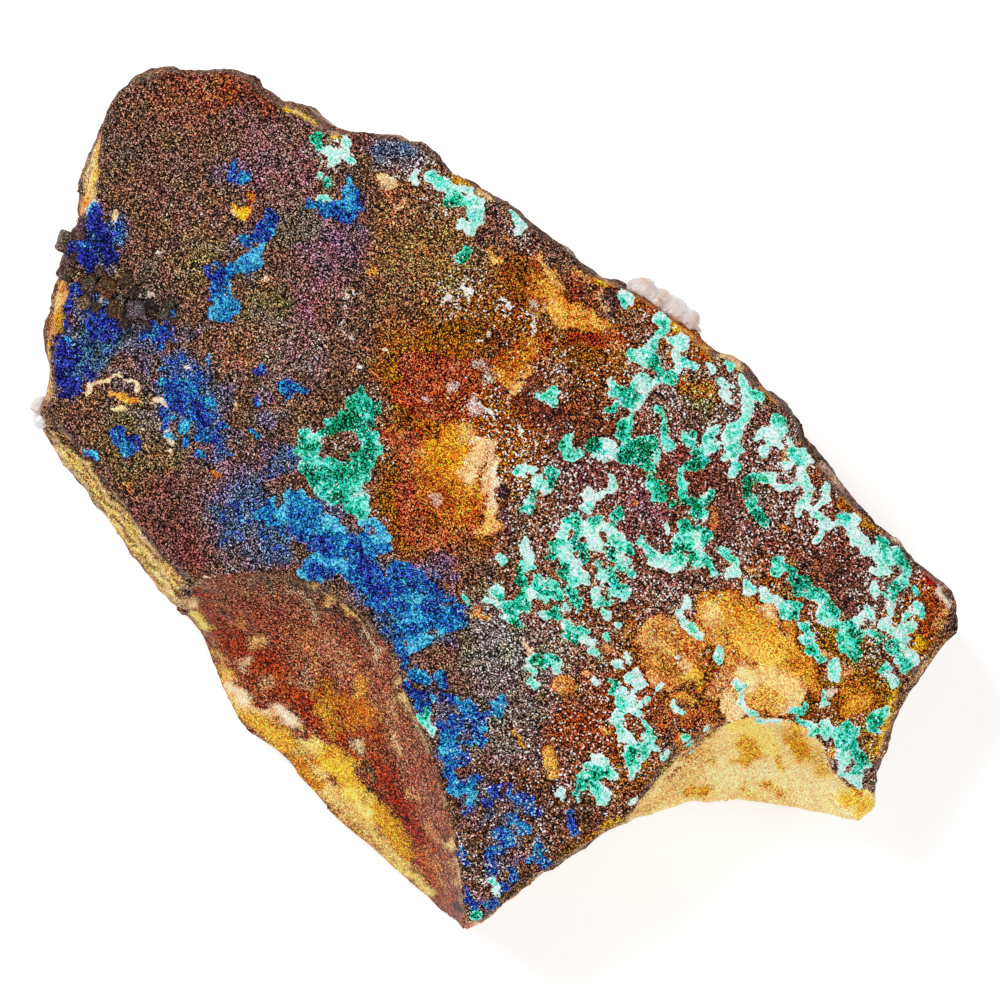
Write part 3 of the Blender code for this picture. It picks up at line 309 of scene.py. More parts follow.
malachite = {
    "rosetteTop": [
        (0.45, [(35.2, 40, 0.5), (36, 39.8, 0.6), (36.6, 40.4, 0.6)]),
        (0.3, [(36.8, 40.6, 0.6), (37.7, 40.9, 0.5)]), (0.6, [(35.6, 40.8, 0.6), (36.6, 41.4, 0.5)]),
        (0.2, [(34.4, 41.8, 0.5), (35, 42.2, 0.6), (36, 42.4, 0.5), (37.2, 41.6, 0.4)]),
        (0.85, [(36.4, 41.8, 0.3), (36.2, 42.3, 0.3)]),
    ],
    "rosetteLeft": [
        (0.3, [(32.2, 43.4, 0.5), (33, 42.8, 0.6), (34, 42.2, 0.6)]), (0.8, [(31, 43.8, 0.35),
        (31.9, 43.7, 0.4), (31.8, 44.6, 0.3)]),
        (0.45, [(30.4, 43.8, 0.5), (30.2, 45, 0.5), (31, 45.4, 1)]), (0.4, [(30.6, 46.4, 0.7),
        (31.8, 47.6, 0.8), (32.4, 48.6, 0.8)]), (0.75, [(31.2, 46.2, 0.3), (32.4, 47, 0.3)]),
        (0.5, [(32.6, 46.4, 0.5), (33.6, 46.6, 0.4)]),
    ],
    "rosetteRight": [
        (0.3, [(36, 42.8, 0.6), (36.8, 43.6, 0.6), (36.8, 45, 0.6)]), (0.55, [(37.6, 43.4, 0.4),
        (37.7, 44.6, 0.4), (37.2, 46, 0.5)]), (0.85, [(38, 43.8, 0.25), (37.9, 44.4, 0.25)]),
        (0.4, [(36.2, 45.8, 0.7), (36.4, 47.4, 0.7)]), (0.65, [(35.6, 47.8, 0.6), (36, 48.8, 0.5)]),
    ],
    "rosetteLow": [
        (0.9, [(32.4, 48.2, 0.35), (33, 49, 0.35)]), (0.4, [(33.8, 47.8, 0.8), (34.4, 49, 0.9)]),
        (0.25, [(33, 49.6, 0.6), (34.4, 49.8, 0.6)]), (0.5, [(35, 50.2, 0.8), (36, 50.8, 0.8)]),
        (0.65, [(36.4, 50, 0.4), (36.6, 51.2, 0.4)]), (0.4, [(34, 46.6, 0.7), (35.2, 47, 0.6)]),
    ],
    "northSpots": [
        (0.35, [(31.9, 13.5, 0.35), (31.8, 14.3, 0.4)]), (0.4, [(32.5, 17.8, 0.3), (32.5, 18.4, 0.3)]),
        (0.7, [(32.2, 19.9, 0.3), (32.6, 20.1, 0.25)]), (0.6, [(34.9, 16, 0.3), (35, 16.2, 0.25)]),
        (0.95, [(32.9, 15.2, 0.35), (33.4, 15.8, 0.4)]), (1, [(34.2, 15.4, 0.4), (34.6, 15.6, 0.3)]),
        (0.97, [(34.8, 14.3, 0.25), (34.6, 14.7, 0.2)]), (0.95, [(33, 16.5, 0.2), (33.1, 16.6, 0.2)]),
    ],
    "topRibbon": [
        (0.7, [(43.2, 17.8, 0.5), (43.6, 18.3, 0.5)]), (0.9, [(44.2, 18.3, 0.4), (45.2, 18.8, 0.5),
        (46.3, 18.9, 0.4), (47, 19.3, 0.3)]), (0.65, [(45, 19.2, 0.5), (45.2, 19.8, 0.5)]),
        (0.3, [(44.8, 20.2, 0.35), (45, 20.5, 0.4)]), (0.5, [(45.6, 20, 0.4), (45.8, 20.6, 0.35)]),
        (0.9, [(46.4, 20.4, 0.35), (47, 20, 0.3), (47.6, 20.6, 0.5)]),
        (0.4, [(46.9, 20.5, 0.25), (46.9, 20.7, 0.25)]), (0.6, [(47.5, 21.2, 0.5), (47.6, 21.6, 0.5)]),
        (0.95, [(47.4, 22.4, 0.5), (46.6, 22.9, 0.5), (45.9, 22.6, 0.3)]),
        (0.97, [(47.8, 19.8, 0.2), (48, 20.4, 0.3)]), (0.85, [(41.3, 17.6, 0.2), (41.4, 18.5, 0.2)]),
        (0.4, [(46.5, 25, 0.25), (46.4, 25.7, 0.5), (45.8, 26, 0.35)]), (0.85, [(51.1, 20.9, 0.2),
        (51.6, 21.6, 0.35), (52.2, 22.4, 0.3), (51.8, 23.3, 0.35)]),
    ],
    "rim": [
        (0.75, [(62.6, 28.6, 0.6), (62.8, 29.5, 0.65)]), (0.45, [(62.2, 29.8, 0.4), (62.3, 30.3, 0.4)]),
    ],
    "loop": [
        (0.75, [(66, 32, 0.5), (66.5, 32.6, 0.55)]), (0.6, [(66.2, 33.2, 0.3), (65.6, 34, 0.4)]),
        (0.5, [(65.3, 34.4, 0.5), (65.2, 34.6, 0.45)]), (0.88, [(67.2, 33.9, 0.35), (68.2, 34.1, 0.6),
        (68.4, 34.6, 0.4)]), (0.9, [(67.2, 34.9, 0.35), (67.8, 36, 0.4), (67.7, 37.2, 0.3)]),
        (0.55, [(64.2, 35.2, 0.35), (65, 35.6, 0.4)]), (0.2, [(65.3, 35.9, 0.5), (65.5, 36.7, 0.45)]),
        (0.5, [(65.8, 37, 0.3), (66.5, 37.6, 0.45), (67.2, 38, 0.4)]),
        (0.6, [(63.2, 35.5, 0.3), (63.6, 35.8, 0.2)]), (0.85, [(64, 36, 0.25), (64.6, 36.4, 0.35)]),
        (0.45, [(68.3, 36.2, 0.4), (69.3, 36.6, 0.35)]), (0.7, [(65.8, 38, 0.3), (66, 38.1, 0.25)]),
    ],
    "heart": [
        (0.8, [(60.9, 38.1, 0.35), (61.4, 38.6, 0.45)]), (0.45, [(61.8, 39.2, 0.6), (62.8, 40, 0.6)]),
        (0.9, [(64, 38, 0.5), (64.5, 38.7, 0.6)]), (0.5, [(63.5, 38.4, 0.3), (63.6, 38.6, 0.25)]),
        (0.2, [(62.8, 39.2, 0.5), (63.1, 39.8, 0.55)]), (0.5, [(64, 39.5, 0.35), (63.9, 39.8, 0.3)]),
        (0.65, [(63.2, 40.6, 0.5), (63.1, 41.1, 0.35)]), (0.9, [(64.3, 40, 0.15), (63.7, 40.7, 0.2)]),
        (0.35, [(60.9, 41.1, 0.3), (61.7, 40.6, 0.3)]),
        (0.55, [(62.9, 41.9, 0.25), (62.8, 42.2, 0.25)]), (0.3, [(62.2, 42.6, 0.4), (62.3, 43.3, 0.6)]),
        (0.5, [(62.6, 42.8, 0.4), (62.8, 43.2, 0.3)]), (0.6, [(65.7, 40.9, 0.3), (66.2, 41.4, 0.2)]),
        (0.4, [(66.3, 42, 0.25), (66.4, 43.6, 0.25)]),
    ],
    "bar": [
        (0.3, [(62.8, 44.2, 0.5), (64.2, 44.4, 0.5), (65.4, 44.2, 0.4)]),
        (0.05, [(62.4, 45.4, 0.6), (63, 45.6, 0.5)]), (0.2, [(63.6, 45.2, 0.6), (64.2, 45.4, 0.5)]),
        (0.1, [(64.2, 46, 0.4), (64.1, 46.4, 0.3)]), (0.4, [(64.6, 46.6, 0.35), (65.1, 47.1, 0.3)]),
        (0.85, [(61, 44.6, 0.5), (61.1, 45.2, 0.6)]), (0.5, [(60.2, 44.8, 0.25), (60.3, 45.2, 0.25)]),
        (0.2, [(59, 44.4, 0.4), (59.6, 44.6, 0.4)]), (0.8, [(59.6, 45.4, 0.35), (60.2, 45.8, 0.35)]),
        (0.75, [(65.4, 45.2, 0.4), (65.8, 45.8, 0.3)]), (0.5, [(66.8, 44.2, 0.35), (66.9, 44.6, 0.3)]),
    ],
    "discWest": [
        (0.75, [(57, 44, 0.4), (56.9, 44.8, 0.7)]), (0.5, [(56.2, 44.6, 0.2), (56.4, 45.5, 0.3),
        (57.4, 45.8, 0.35), (57.8, 45.3, 0.25)]),
    ],
    "steps": [
        (0.55, [(52.2, 47, 0.4), (52.2, 47.3, 0.4)]), (0.95, [(52.8, 46.6, 0.35), (53.2, 47, 0.3)]),
        (0.3, [(54.7, 47, 0.35), (55.2, 47.4, 0.4)]), (0.1, [(55.2, 47.9, 0.4), (55.1, 48.2, 0.3)]),
        (0.85, [(53.6, 48.2, 0.5), (54.4, 48.8, 0.6)]), (0.4, [(53.7, 48.5, 0.2), (53.8, 48.7, 0.2)]),
        (0.2, [(53.1, 49.3, 0.3), (53.2, 49.7, 0.25)]), (0.35, [(52.3, 50.7, 0.35), (53, 50.8, 0.35)]),
        (0.65, [(52.8, 50.2, 0.3), (52.6, 50.3, 0.25)]), (0.7, [(55.4, 39.1, 0.5), (55.2, 39.6, 0.5)]),
        (0.6, [(54, 39.4, 0.3), (54.2, 39.7, 0.3)]), (0.6, [(55.2, 40.2, 0.25), (55.5, 40.2, 0.2)]),
    ],
    "islands": [
        (1, [(58.8, 49.4, 0.6), (58.9, 49.9, 0.5)]), (0.7, [(58.7, 50.6, 0.45), (58.7, 51, 0.3)]),
        (0.35, [(61.8, 51.3, 0.4), (61.6, 51.7, 0.35)]), (0.95, [(61, 47.6, 0.15), (61.3, 48.6, 0.2)]),
        (0.9, [(60, 49.6, 0.25), (61, 49.3, 0.25)]), (0.5, [(61, 52.6, 0.25), (61.2, 52.7, 0.2)]),
        (0.8, [(50, 55.7, 0.3), (50.1, 56.1, 0.25)]), (0.95, [(66.6, 52.5, 0.15), (66.7, 53.3, 0.25)]),
    ],
    "wedge": [
        (0.5, [(65.1, 48, 0.3), (65.3, 49, 0.3)]), (0.25, [(66.2, 47.8, 0.2), (66.3, 48.8, 0.35)]),
        (0.35, [(65.8, 49.6, 0.35), (66.3, 49.6, 0.35)]), (0.4, [(67.2, 50.5, 0.25), (67, 50.8, 0.2)]),
    ],
    "horseshoe": [
        (0.4, [(68, 47.4, 0.3), (68.1, 48.6, 0.3), (68.4, 49.6, 0.4)]), (0.3, [(68.6, 50, 0.4),
        (69.3, 50.8, 0.45), (69.6, 51.3, 0.35)]), (0.35, [(69.8, 50.7, 0.35), (70.6, 49.9, 0.35),
        (71.1, 49.3, 0.35)]), (0.85, [(70.3, 51.6, 0.25), (70.4, 51.9, 0.25)]),
        (0.9, [(70.2, 50, 0.15), (70.7, 49.3, 0.15)]), (0.3, [(68.8, 46.7, 0.3), (69.6, 46.5, 0.4)]),
        (0.35, [(69.4, 45.3, 0.35), (70, 45.2, 0.4)]), (0.7, [(70.4, 44.8, 0.4), (71.2, 44.8, 0.35)]),
        (0.5, [(70.8, 43.8, 0.35), (71.3, 43.1, 0.35)]), (0.25, [(69.1, 43.8, 0.3), (69.2, 44.2, 0.3)]),
        (0.1, [(70, 45.8, 0.3), (70.4, 45.8, 0.25)]), (0.5, [(68.4, 43.4, 0.2), (68.5, 43.6, 0.2)]),
    ],
    "ringEast": [
        (0.85, [(72.2, 38.3, 0.3), (73.4, 38.5, 0.25)]), (0.97, [(72.3, 39, 0.2), (72.9, 40.4, 0.25)]),
        (0.7, [(74.2, 38.1, 0.35), (74.8, 38.8, 0.5)]), (0.6, [(75, 39.6, 0.45), (75.8, 39.6, 0.35)]),
        (0.85, [(74.4, 39.8, 0.45), (74.8, 40.6, 0.4)]), (0.9, [(70.8, 36.4, 0.2), (71.5, 37, 0.25)]),
        (0.7, [(72.9, 36.7, 0.3), (73.2, 36.5, 0.25)]),
    ],
    "ribbon": [
        (0.88, [(74.8, 40.8, 0.4), (74.2, 42, 0.45), (73.2, 43.2, 0.6), (72.7, 44.1, 0.5)]),
        (0.72, [(73, 44.7, 0.6), (73.4, 45.3, 0.6)]), (0.9, [(72.7, 45.5, 0.35), (72.6, 45.8, 0.25)]),
        (0.5, [(73.6, 46.2, 0.35), (73.5, 46.7, 0.3)]), (0.8, [(73.3, 46.9, 0.25), (73.3, 47.4, 0.2)]),
    ],
    "clump": [
        (0.68, [(77.4, 42, 0.45), (77.9, 42.9, 0.6)]), (0.9, [(76.8, 43.2, 0.4), (77.4, 44.2, 0.6)]),
        (0.85, [(77.9, 44.6, 0.35), (78, 44.7, 0.3)]), (0.85, [(76.3, 45, 0.3), (76.4, 45.4, 0.25)]),
        (0.75, [(75.8, 43.6, 0.25), (76.2, 43.4, 0.25)]), (0.9, [(79, 44.3, 0.3), (79.2, 44.6, 0.3)]),
    ],
    "clumpEast": [
        (0.7, [(79.2, 45.2, 0.5), (79.8, 45.6, 0.5)]), (0.6, [(79.6, 46, 0.5), (80, 46.2, 0.4)]),
        (0.85, [(80.6, 46, 0.4), (81.2, 46.2, 0.25)]), (0.95, [(78.6, 46.2, 0.25), (78.7, 46.7, 0.25)]),
        (0.8, [(80.2, 47.2, 0.4), (80.2, 47.9, 0.35)]), (0.95, [(80.6, 48.4, 0.3), (80.6, 49.6, 0.25)]),
    ],
    "arcEast": [
        (0.12, [(74.5, 49.3, 0.35), (74.6, 48.4, 0.35), (74.9, 47.8, 0.35)]),
        (0.35, [(75, 47.5, 0.35), (75.7, 47.6, 0.4)]), (0.92, [(76.4, 47.6, 0.45), (77.2, 48.2, 0.4)]),
        (0.85, [(77.6, 48.6, 0.35), (78.8, 48.8, 0.3), (80, 48.3, 0.25)]),
        (0.3, [(75.1, 50.2, 0.45), (75.2, 50.9, 0.5)]), (0.25, [(75.4, 51.5, 0.4), (76.2, 51.8, 0.35)]),
        (0.45, [(76.5, 52.2, 0.25), (76.8, 52.8, 0.2)]),
    ],
    "arcRim": [
        (0.93, [(82.6, 48.4, 0.25), (82.5, 49.6, 0.3), (82.2, 50.4, 0.25), (81.4, 51, 0.25)]),
        (0.85, [(79.9, 50.3, 0.3), (79.6, 51.2, 0.3)]), (0.9, [(80.4, 49.8, 0.25), (81, 50.6, 0.25)]),
    ],
    "longRibbon": [
        (0.75, [(81.4, 51.6, 0.3), (82.2, 52, 0.35)]), (0.85, [(82.4, 52.6, 0.35), (83.8, 52.5, 0.3)]),
        (0.35, [(83.8, 51.4, 0.25), (84.3, 51.8, 0.25)]), (0.8, [(84, 52.3, 0.35), (85.4, 52.3, 0.45)]),
        (0.9, [(85.6, 53, 0.45), (86.2, 54.4, 0.5)]), (0.9, [(86.4, 54.8, 0.5), (87.4, 55.4, 0.5)]),
        (0.97, [(82, 53, 0.25), (81.4, 54, 0.2)]), (0.95, [(85, 53.4, 0.25), (85.4, 54.4, 0.3)]),
    ],
    "hook": [
        (0.55, [(88, 54.9, 0.5), (89, 55.4, 0.6)]), (0.75, [(88, 55.7, 0.4), (89.4, 56.2, 0.35)]),
        (0.3, [(87.8, 54.1, 0.25), (88.4, 54.4, 0.25)]), (0.3, [(89.4, 54.8, 0.4), (90, 55.5, 0.4)]),
        (0.45, [(90.2, 56, 0.4), (90.5, 57.2, 0.35), (90.4, 58.2, 0.4)]),
        (0.3, [(90, 58.6, 0.35), (89.4, 58.9, 0.3)]), (0.5, [(89.2, 59.2, 0.3), (88.5, 59.7, 0.35)]),
        (0.95, [(87.2, 58.6, 0.3), (87.8, 59.3, 0.35)]),
        (0.97, [(87.4, 56.8, 0.3), (88.8, 56.9, 0.25)]),
    ],
    "diagonal": [
        (0.5, [(77.7, 56, 0.3), (77.7, 57.2, 0.4)]), (0.25, [(78.8, 57, 0.4), (79.2, 57.6, 0.4)]),
        (0.05, [(79.5, 57.8, 0.35), (79.7, 58.8, 0.35)]),
        (0.15, [(80.2, 57.6, 0.3), (80.8, 58.4, 0.35)]), (0.1, [(81.2, 59, 0.35), (81.7, 59.3, 0.3)]),
        (0.35, [(82.2, 59.2, 0.3), (82.3, 59.8, 0.3)]), (0.5, [(80.6, 59.2, 0.3), (81.8, 60, 0.3)]),
        (0.2, [(82.8, 60.8, 0.4), (83.4, 61.6, 0.4)]), (0.7, [(82.2, 61, 0.4), (82.6, 62, 0.35)]),
        (0.3, [(83.6, 62.2, 0.4), (84.4, 62.6, 0.4)]), (0.1, [(84.8, 62.8, 0.35), (85.1, 63.5, 0.4)]),
        (0.5, [(85.2, 62.4, 0.3), (85.6, 62.7, 0.3)]), (0.05, [(85.7, 64, 0.25), (86, 65.6, 0.25)]),
        (0.6, [(84, 63.6, 0.4), (84.8, 64.8, 0.5)]), (0.45, [(85.2, 64.2, 0.4), (85.4, 65.4, 0.35)]),
        (0.8, [(83.6, 66.2, 0.4), (83.2, 67.4, 0.45)]), (0.2, [(85, 63, 0.2), (86, 63.2, 0.2)]),
    ],
    "domeEdge": [
        (0.97, [(76.4, 59.2, 0.45), (77, 60, 0.5), (78, 60.4, 0.5)]),
        (0.3, [(79.1, 60.4, 0.35), (79.7, 60.6, 0.35)]),
        (0.55, [(78.4, 61.2, 0.35), (79.4, 61.4, 0.3)]), (0.85, [(74.6, 58.4, 0.4), (75, 58.9, 0.4)]),
        (0.5, [(80.3, 62.4, 0.35), (80.8, 63.2, 0.4)]), (0.6, [(80.6, 64, 0.35), (81.2, 65.2, 0.3),
        (82, 65.9, 0.25)]), (1, [(73, 57.2, 0.4), (73.4, 57.1, 0.4)]),
        (0.95, [(73.3, 56.3, 0.25), (73.5, 56.2, 0.2)]),
    ],
    "eastDust": [
        (0.97, [(85.6, 62, 0.4), (86.2, 61.8, 0.3)]), (0.85, [(86.8, 61.1, 0.35), (87, 61.4, 0.3)]),
        (0.93, [(88.3, 62.3, 0.45), (88.9, 62.9, 0.4)]), (0.85, [(90.2, 62.8, 0.4), (90.8, 62.6, 0.5)]),
        (0.9, [(90, 63.6, 0.5), (90.4, 64.2, 0.45)]), (0.7, [(91.6, 60.4, 0.4), (91.9, 61.2, 0.45)]),
        (0.8, [(90.8, 61.3, 0.3), (90.4, 61.8, 0.25)]), (0.2, [(87.4, 63.5, 0.35), (87.7, 63.9, 0.35)]),
        (0.5, [(86.8, 63, 0.3), (87, 63.2, 0.3)]), (0.35, [(88.8, 64.4, 0.4), (89.4, 65.2, 0.4)]),
        (0.4, [(90, 66, 0.4), (90.8, 66.6, 0.45)]), (0.85, [(90.4, 64.9, 0.3), (91.4, 65.7, 0.3)]),
        (0.45, [(88.6, 66.8, 0.4), (88.4, 67.1, 0.3)]), (0.8, [(89, 67.8, 0.3), (89.3, 68.5, 0.25)]),
        (0.95, [(88.9, 60.5, 0.35), (89, 61.4, 0.3)]), (0.3, [(91.5, 59.1, 0.25), (91.6, 59.2, 0.2)]),
    ],
    "beads": [
        (0.85, [(74, 68.6, 0.25), (74, 69.6, 0.15)]), (0.9, [(74, 70.2, 0.3), (74.6, 71, 0.2)]),
        (0.6, [(75.2, 71.4, 0.25), (75.7, 71.7, 0.25)]), (0.85, [(76.4, 72, 0.2), (77.6, 72.2, 0.2)]),
        (0.6, [(79, 71.2, 0.3), (79.6, 71.1, 0.3)]), (0.5, [(80.2, 71, 0.3), (80.6, 70.8, 0.25)]),
        (0.65, [(79.8, 72, 0.3), (80.6, 72.2, 0.3)]), (0.85, [(81, 72.6, 0.3), (81.3, 73.2, 0.3)]),
        (0.8, [(82.4, 69, 0.2), (82.3, 70.2, 0.25)]), (0.85, [(73.4, 68.2, 0.3), (73.7, 68.7, 0.3)]),
    ],
    "corner": [
        (0.7, [(82.4, 72.4, 0.45), (82.6, 73.2, 0.4)]), (0.35, [(84.6, 72.6, 0.4), (85.2, 73.4, 0.5)]),
        (0.5, [(83.6, 73.2, 0.4), (84.2, 74.2, 0.5)]), (0.3, [(85, 74.6, 0.6), (86, 75.6, 0.6)]),
        (0.8, [(84, 75.2, 0.4), (84.4, 76.4, 0.4)]), (0.4, [(86.2, 76.6, 0.5), (85.6, 77.2, 0.4)]),
        (0.9, [(84, 76.9, 0.35), (85.2, 78, 0.3), (86, 78.2, 0.3)]),
        (0.45, [(87.2, 72.4, 0.5), (87.8, 72, 0.5)]), (0.85, [(88, 71.2, 0.35), (88.6, 70.8, 0.35)]),
        (0.4, [(87.6, 73, 0.3), (87.9, 73, 0.3)]),
    ],
    "granules": [
        (0.95, [(68.4, 60.6, 0.35), (68.7, 60.4, 0.3)]),
        (0.85, [(67.8, 61.2, 0.35), (68.1, 61.7, 0.3)]), (0.9, [(68.4, 62.2, 0.35), (69.2, 63, 0.4)]),
        (0.95, [(69.6, 63.6, 0.25), (70, 63.7, 0.25)]), (0.9, [(71.6, 65, 0.4), (71.9, 65.8, 0.35)]),
        (0.85, [(67.4, 65.6, 0.25), (67.6, 65.8, 0.25)]), (0.8, [(68.6, 73.8, 0.35), (69, 74.6, 0.3),
        (69.2, 75.2, 0.2)]), (0.7, [(66.4, 75.4, 0.2), (66.6, 75.9, 0.25)]),
        (0.9, [(70.6, 72.9, 0.25), (71, 72.8, 0.25)]), (0.9, [(65.9, 68.4, 0.3), (65.9, 69.2, 0.2)]),
        (0.9, [(67.4, 70.4, 0.2), (67.9, 71, 0.25)]), (0.9, [(69.6, 76, 0.1), (69.7, 76.1, 0.1)]),
    ],
    "middleArc": [
        (0.5, [(64, 54.2, 0.3), (64.8, 55, 0.4)]), (0.9, [(65.4, 55.8, 0.45), (66.6, 56.3, 0.5)]),
        (0.75, [(66.8, 56.2, 0.45), (68, 56, 0.5)]), (0.97, [(65.6, 56.4, 0.3), (68, 56.6, 0.3)]),
        (0.1, [(66.6, 55.2, 0.25), (67.4, 54.9, 0.3)]), (0.3, [(67.8, 54.8, 0.3), (68.4, 54.6, 0.3)]),
    ],
    "middleDisc": [
        (0.5, [(68.2, 53, 0.4), (68.2, 54, 0.4)]), (0.7, [(68.8, 53.2, 0.4), (69, 54.4, 0.4)]),
        (0.88, [(69.4, 53.4, 0.5), (69.8, 54.4, 0.45)]), (0.3, [(68, 52.4, 0.25), (69.6, 52.6, 0.25)]),
        (0.2, [(70.3, 53, 0.2), (70.4, 54.4, 0.15)]), (0.3, [(70.9, 53.3, 0.3), (71, 53.5, 0.25)]),
        (0.2, [(69.1, 55.4, 0.15), (69.1, 56.4, 0.2)]), (0.85, [(69.8, 55.4, 0.4), (69.8, 56.2, 0.45)]),
        (0.4, [(70.4, 55.6, 0.3), (70.6, 56.6, 0.35)]), (0.6, [(71.2, 56.8, 0.3), (71.4, 57.5, 0.25)]),
        (0.55, [(72.5, 55.2, 0.4), (72.8, 55.7, 0.35)]),
    ],
    "massWest": [
        (0.25, [(56.6, 51.8, 0.4), (57.4, 51.9, 0.45)]), (0.65, [(56.4, 52.8, 0.5), (56.2, 53.4, 0.4)]),
        (0.35, [(57.8, 52.6, 0.35), (57.9, 53.4, 0.35)]),
        (0.45, [(55.4, 54.6, 0.35), (56.2, 54.4, 0.4)]), (0.15, [(55.2, 55.3, 0.35), (55, 55.8, 0.3)]),
        (0.8, [(56.8, 54.2, 0.3), (56.8, 55, 0.5)]), (0.7, [(56, 55.4, 0.5), (56.8, 55.8, 0.5)]),
        (0.1, [(57.5, 54, 0.25), (57.6, 54.8, 0.25)]), (0.2, [(58.2, 55, 0.35), (58.4, 55.6, 0.35)]),
        (0.25, [(56.2, 56.8, 0.5), (56.6, 57.2, 0.5)]), (0.9, [(57.6, 56.4, 0.5), (58, 57.4, 0.5),
        (58.6, 58.2, 0.35)]), (0.7, [(57, 57.6, 0.4), (57.6, 57.9, 0.35)]),
    ],
    "massEast": [
        (0.4, [(59.2, 52, 0.35), (59.7, 52, 0.3)]), (1, [(58.8, 52.8, 0.4), (59.2, 53.6, 0.4)]),
        (1, [(59.4, 54.2, 0.45), (60, 54.6, 0.35)]), (0.95, [(59.9, 52.6, 0.25), (60.6, 52.8, 0.2)]),
        (0.95, [(61.2, 53.2, 0.4), (61.8, 53.5, 0.35)]),
        (0.75, [(61.4, 54.2, 0.45), (62.2, 54.6, 0.45)]),
        (0.2, [(62.3, 54.1, 0.2), (63.1, 55.2, 0.25)]), (0.1, [(61.2, 55.2, 0.3), (61.3, 55.6, 0.25)]),
        (1, [(62, 55.9, 0.35), (62.5, 56.4, 0.3)]), (0.6, [(61.8, 56.6, 0.25), (62.3, 56.9, 0.25)]),
    ],
    "spur": [
        (0.35, [(59.7, 56.5, 0.25), (59.8, 56.8, 0.25)]),
        (0.8, [(60.2, 57.3, 0.4), (60.5, 57.9, 0.35)]), (0.2, [(61.2, 57.2, 0.25), (61, 58.1, 0.3),
        (61.6, 58.6, 0.3), (62.2, 58.7, 0.25)]), (0.6, [(61.4, 59.2, 0.3), (62.4, 59.4, 0.5)]),
        (0.9, [(59.6, 59.2, 0.45), (59.8, 60.2, 0.35)]), (0.6, [(60.4, 60.3, 0.3), (60.8, 60.2, 0.25)]),
        (1, [(60.5, 61.3, 0.35), (60.8, 61.4, 0.3)]), (0.4, [(63, 57, 0.3), (63.3, 57.4, 0.3)]),
        (0.95, [(61.8, 62.4, 0.25), (61.9, 62.6, 0.2)]),
    ],
    "westMass": [
        (0.97, [(52.1, 54.2, 0.15), (52.6, 55.2, 0.35), (53, 55.8, 0.5)]),
        (0.4, [(52, 56.6, 0.35), (52.1, 57.6, 0.4)]), (0.2, [(51.8, 57.8, 0.3), (52.3, 58, 0.3)]),
        (0.3, [(53.2, 56.6, 0.35), (53.5, 56.9, 0.3)]), (0.8, [(52.6, 56.6, 0.35), (52.5, 57, 0.3)]),
        (0.95, [(49.4, 59, 0.35), (50.2, 58.9, 0.25)]), (0.8, [(48.6, 60, 0.3), (49.6, 60.4, 0.3)]),
        (0.4, [(50.2, 59.4, 0.35), (50, 60, 0.35)]), (0.3, [(50.8, 60.6, 0.5), (51.6, 60.8, 0.6)]),
        (0.35, [(51.4, 61.8, 0.5), (51.8, 62.2, 0.35)]), (0.7, [(50.6, 61.8, 0.25), (50.9, 62, 0.2)]),
        (0.93, [(52.8, 58.6, 0.35), (52.9, 59.6, 0.35)]),
        (0.5, [(52.4, 60.2, 0.35), (52.8, 60.6, 0.3)]),
        (0.25, [(52.3, 58.9, 0.25), (52.2, 59.6, 0.25)]),
    ],
    "southMass": [
        (0.3, [(53.6, 58.2, 0.4), (54, 59.2, 0.4)]), (0.25, [(54.8, 59.6, 0.4), (55.8, 59.4, 0.4)]),
        (0.5, [(54.8, 58.2, 0.3), (55.4, 58.4, 0.3)]), (0.97, [(55.3, 59.1, 0.25), (55.4, 59.3, 0.2)]),
        (0.2, [(56.8, 58.8, 0.4), (57.4, 59.4, 0.4)]), (0.3, [(57.4, 59.8, 0.4), (57.8, 60.2, 0.35)]),
        (0.55, [(57.6, 60.6, 0.4), (57.8, 60.9, 0.3)]), (0.3, [(55.2, 61.4, 0.4), (55.8, 61.6, 0.35)]),
        (0.8, [(54.2, 61.2, 0.25), (54.8, 62, 0.2)]), (1, [(56.4, 60.6, 0.2), (56.5, 60.8, 0.2)]),
        (0.93, [(56.8, 62.4, 0.45), (57.2, 62.7, 0.4)]), (0.4, [(56.6, 63.2, 0.3), (57.4, 63.6, 0.35)]),
        (0.1, [(57.3, 63.5, 0.25), (57.5, 63.9, 0.25)]), (0.5, [(58.2, 62.8, 0.3), (58.6, 63.2, 0.3)]),
        (0.97, [(58.6, 64, 0.35), (58.9, 64.1, 0.3)]), (0.7, [(59.2, 65, 0.3), (59.6, 65.3, 0.3)]),
        (0.6, [(60.4, 63.9, 0.3), (60.7, 64.1, 0.25)]),
    ],
    "clumpSouth": [
        (0.25, [(53.4, 66, 0.35), (53.8, 65.8, 0.35)]), (0.9, [(52.9, 65.8, 0.25), (53, 66, 0.2)]),
        (0.2, [(54.4, 66.2, 0.35), (54.8, 66.4, 0.3)]), (0.35, [(55, 65.6, 0.35), (55.5, 66.2, 0.4)]),
        (0.85, [(54.9, 66.2, 0.2), (55.6, 66.8, 0.35)]),
        (0.95, [(52.8, 66.8, 0.25), (53.4, 67.2, 0.25)]), (0.75, [(53, 68, 0.25), (53.4, 68.4, 0.35)]),
        (0.35, [(46.6, 60, 0.3), (46.8, 60.2, 0.25)]),
    ],
    "stem": [
        (0.9, [(61.5, 66.2, 0.35), (61.8, 66.4, 0.35)]), (0.85, [(63, 67.4, 0.45), (63.8, 68.2, 0.5)]),
        (0.93, [(63.6, 68.8, 0.45), (63.4, 69.2, 0.4)]), (0.8, [(61.9, 69.2, 0.4), (62, 70, 0.4)]),
        (0.45, [(62.1, 70.4, 0.5), (62.4, 71, 0.5)]), (0.75, [(63.2, 70.2, 0.5), (63.4, 71, 0.45)]),
        (0.9, [(64.2, 70, 0.35), (64.4, 70.2, 0.3)]), (0.75, [(61.3, 71.6, 0.35), (61.7, 72.4, 0.35)]),
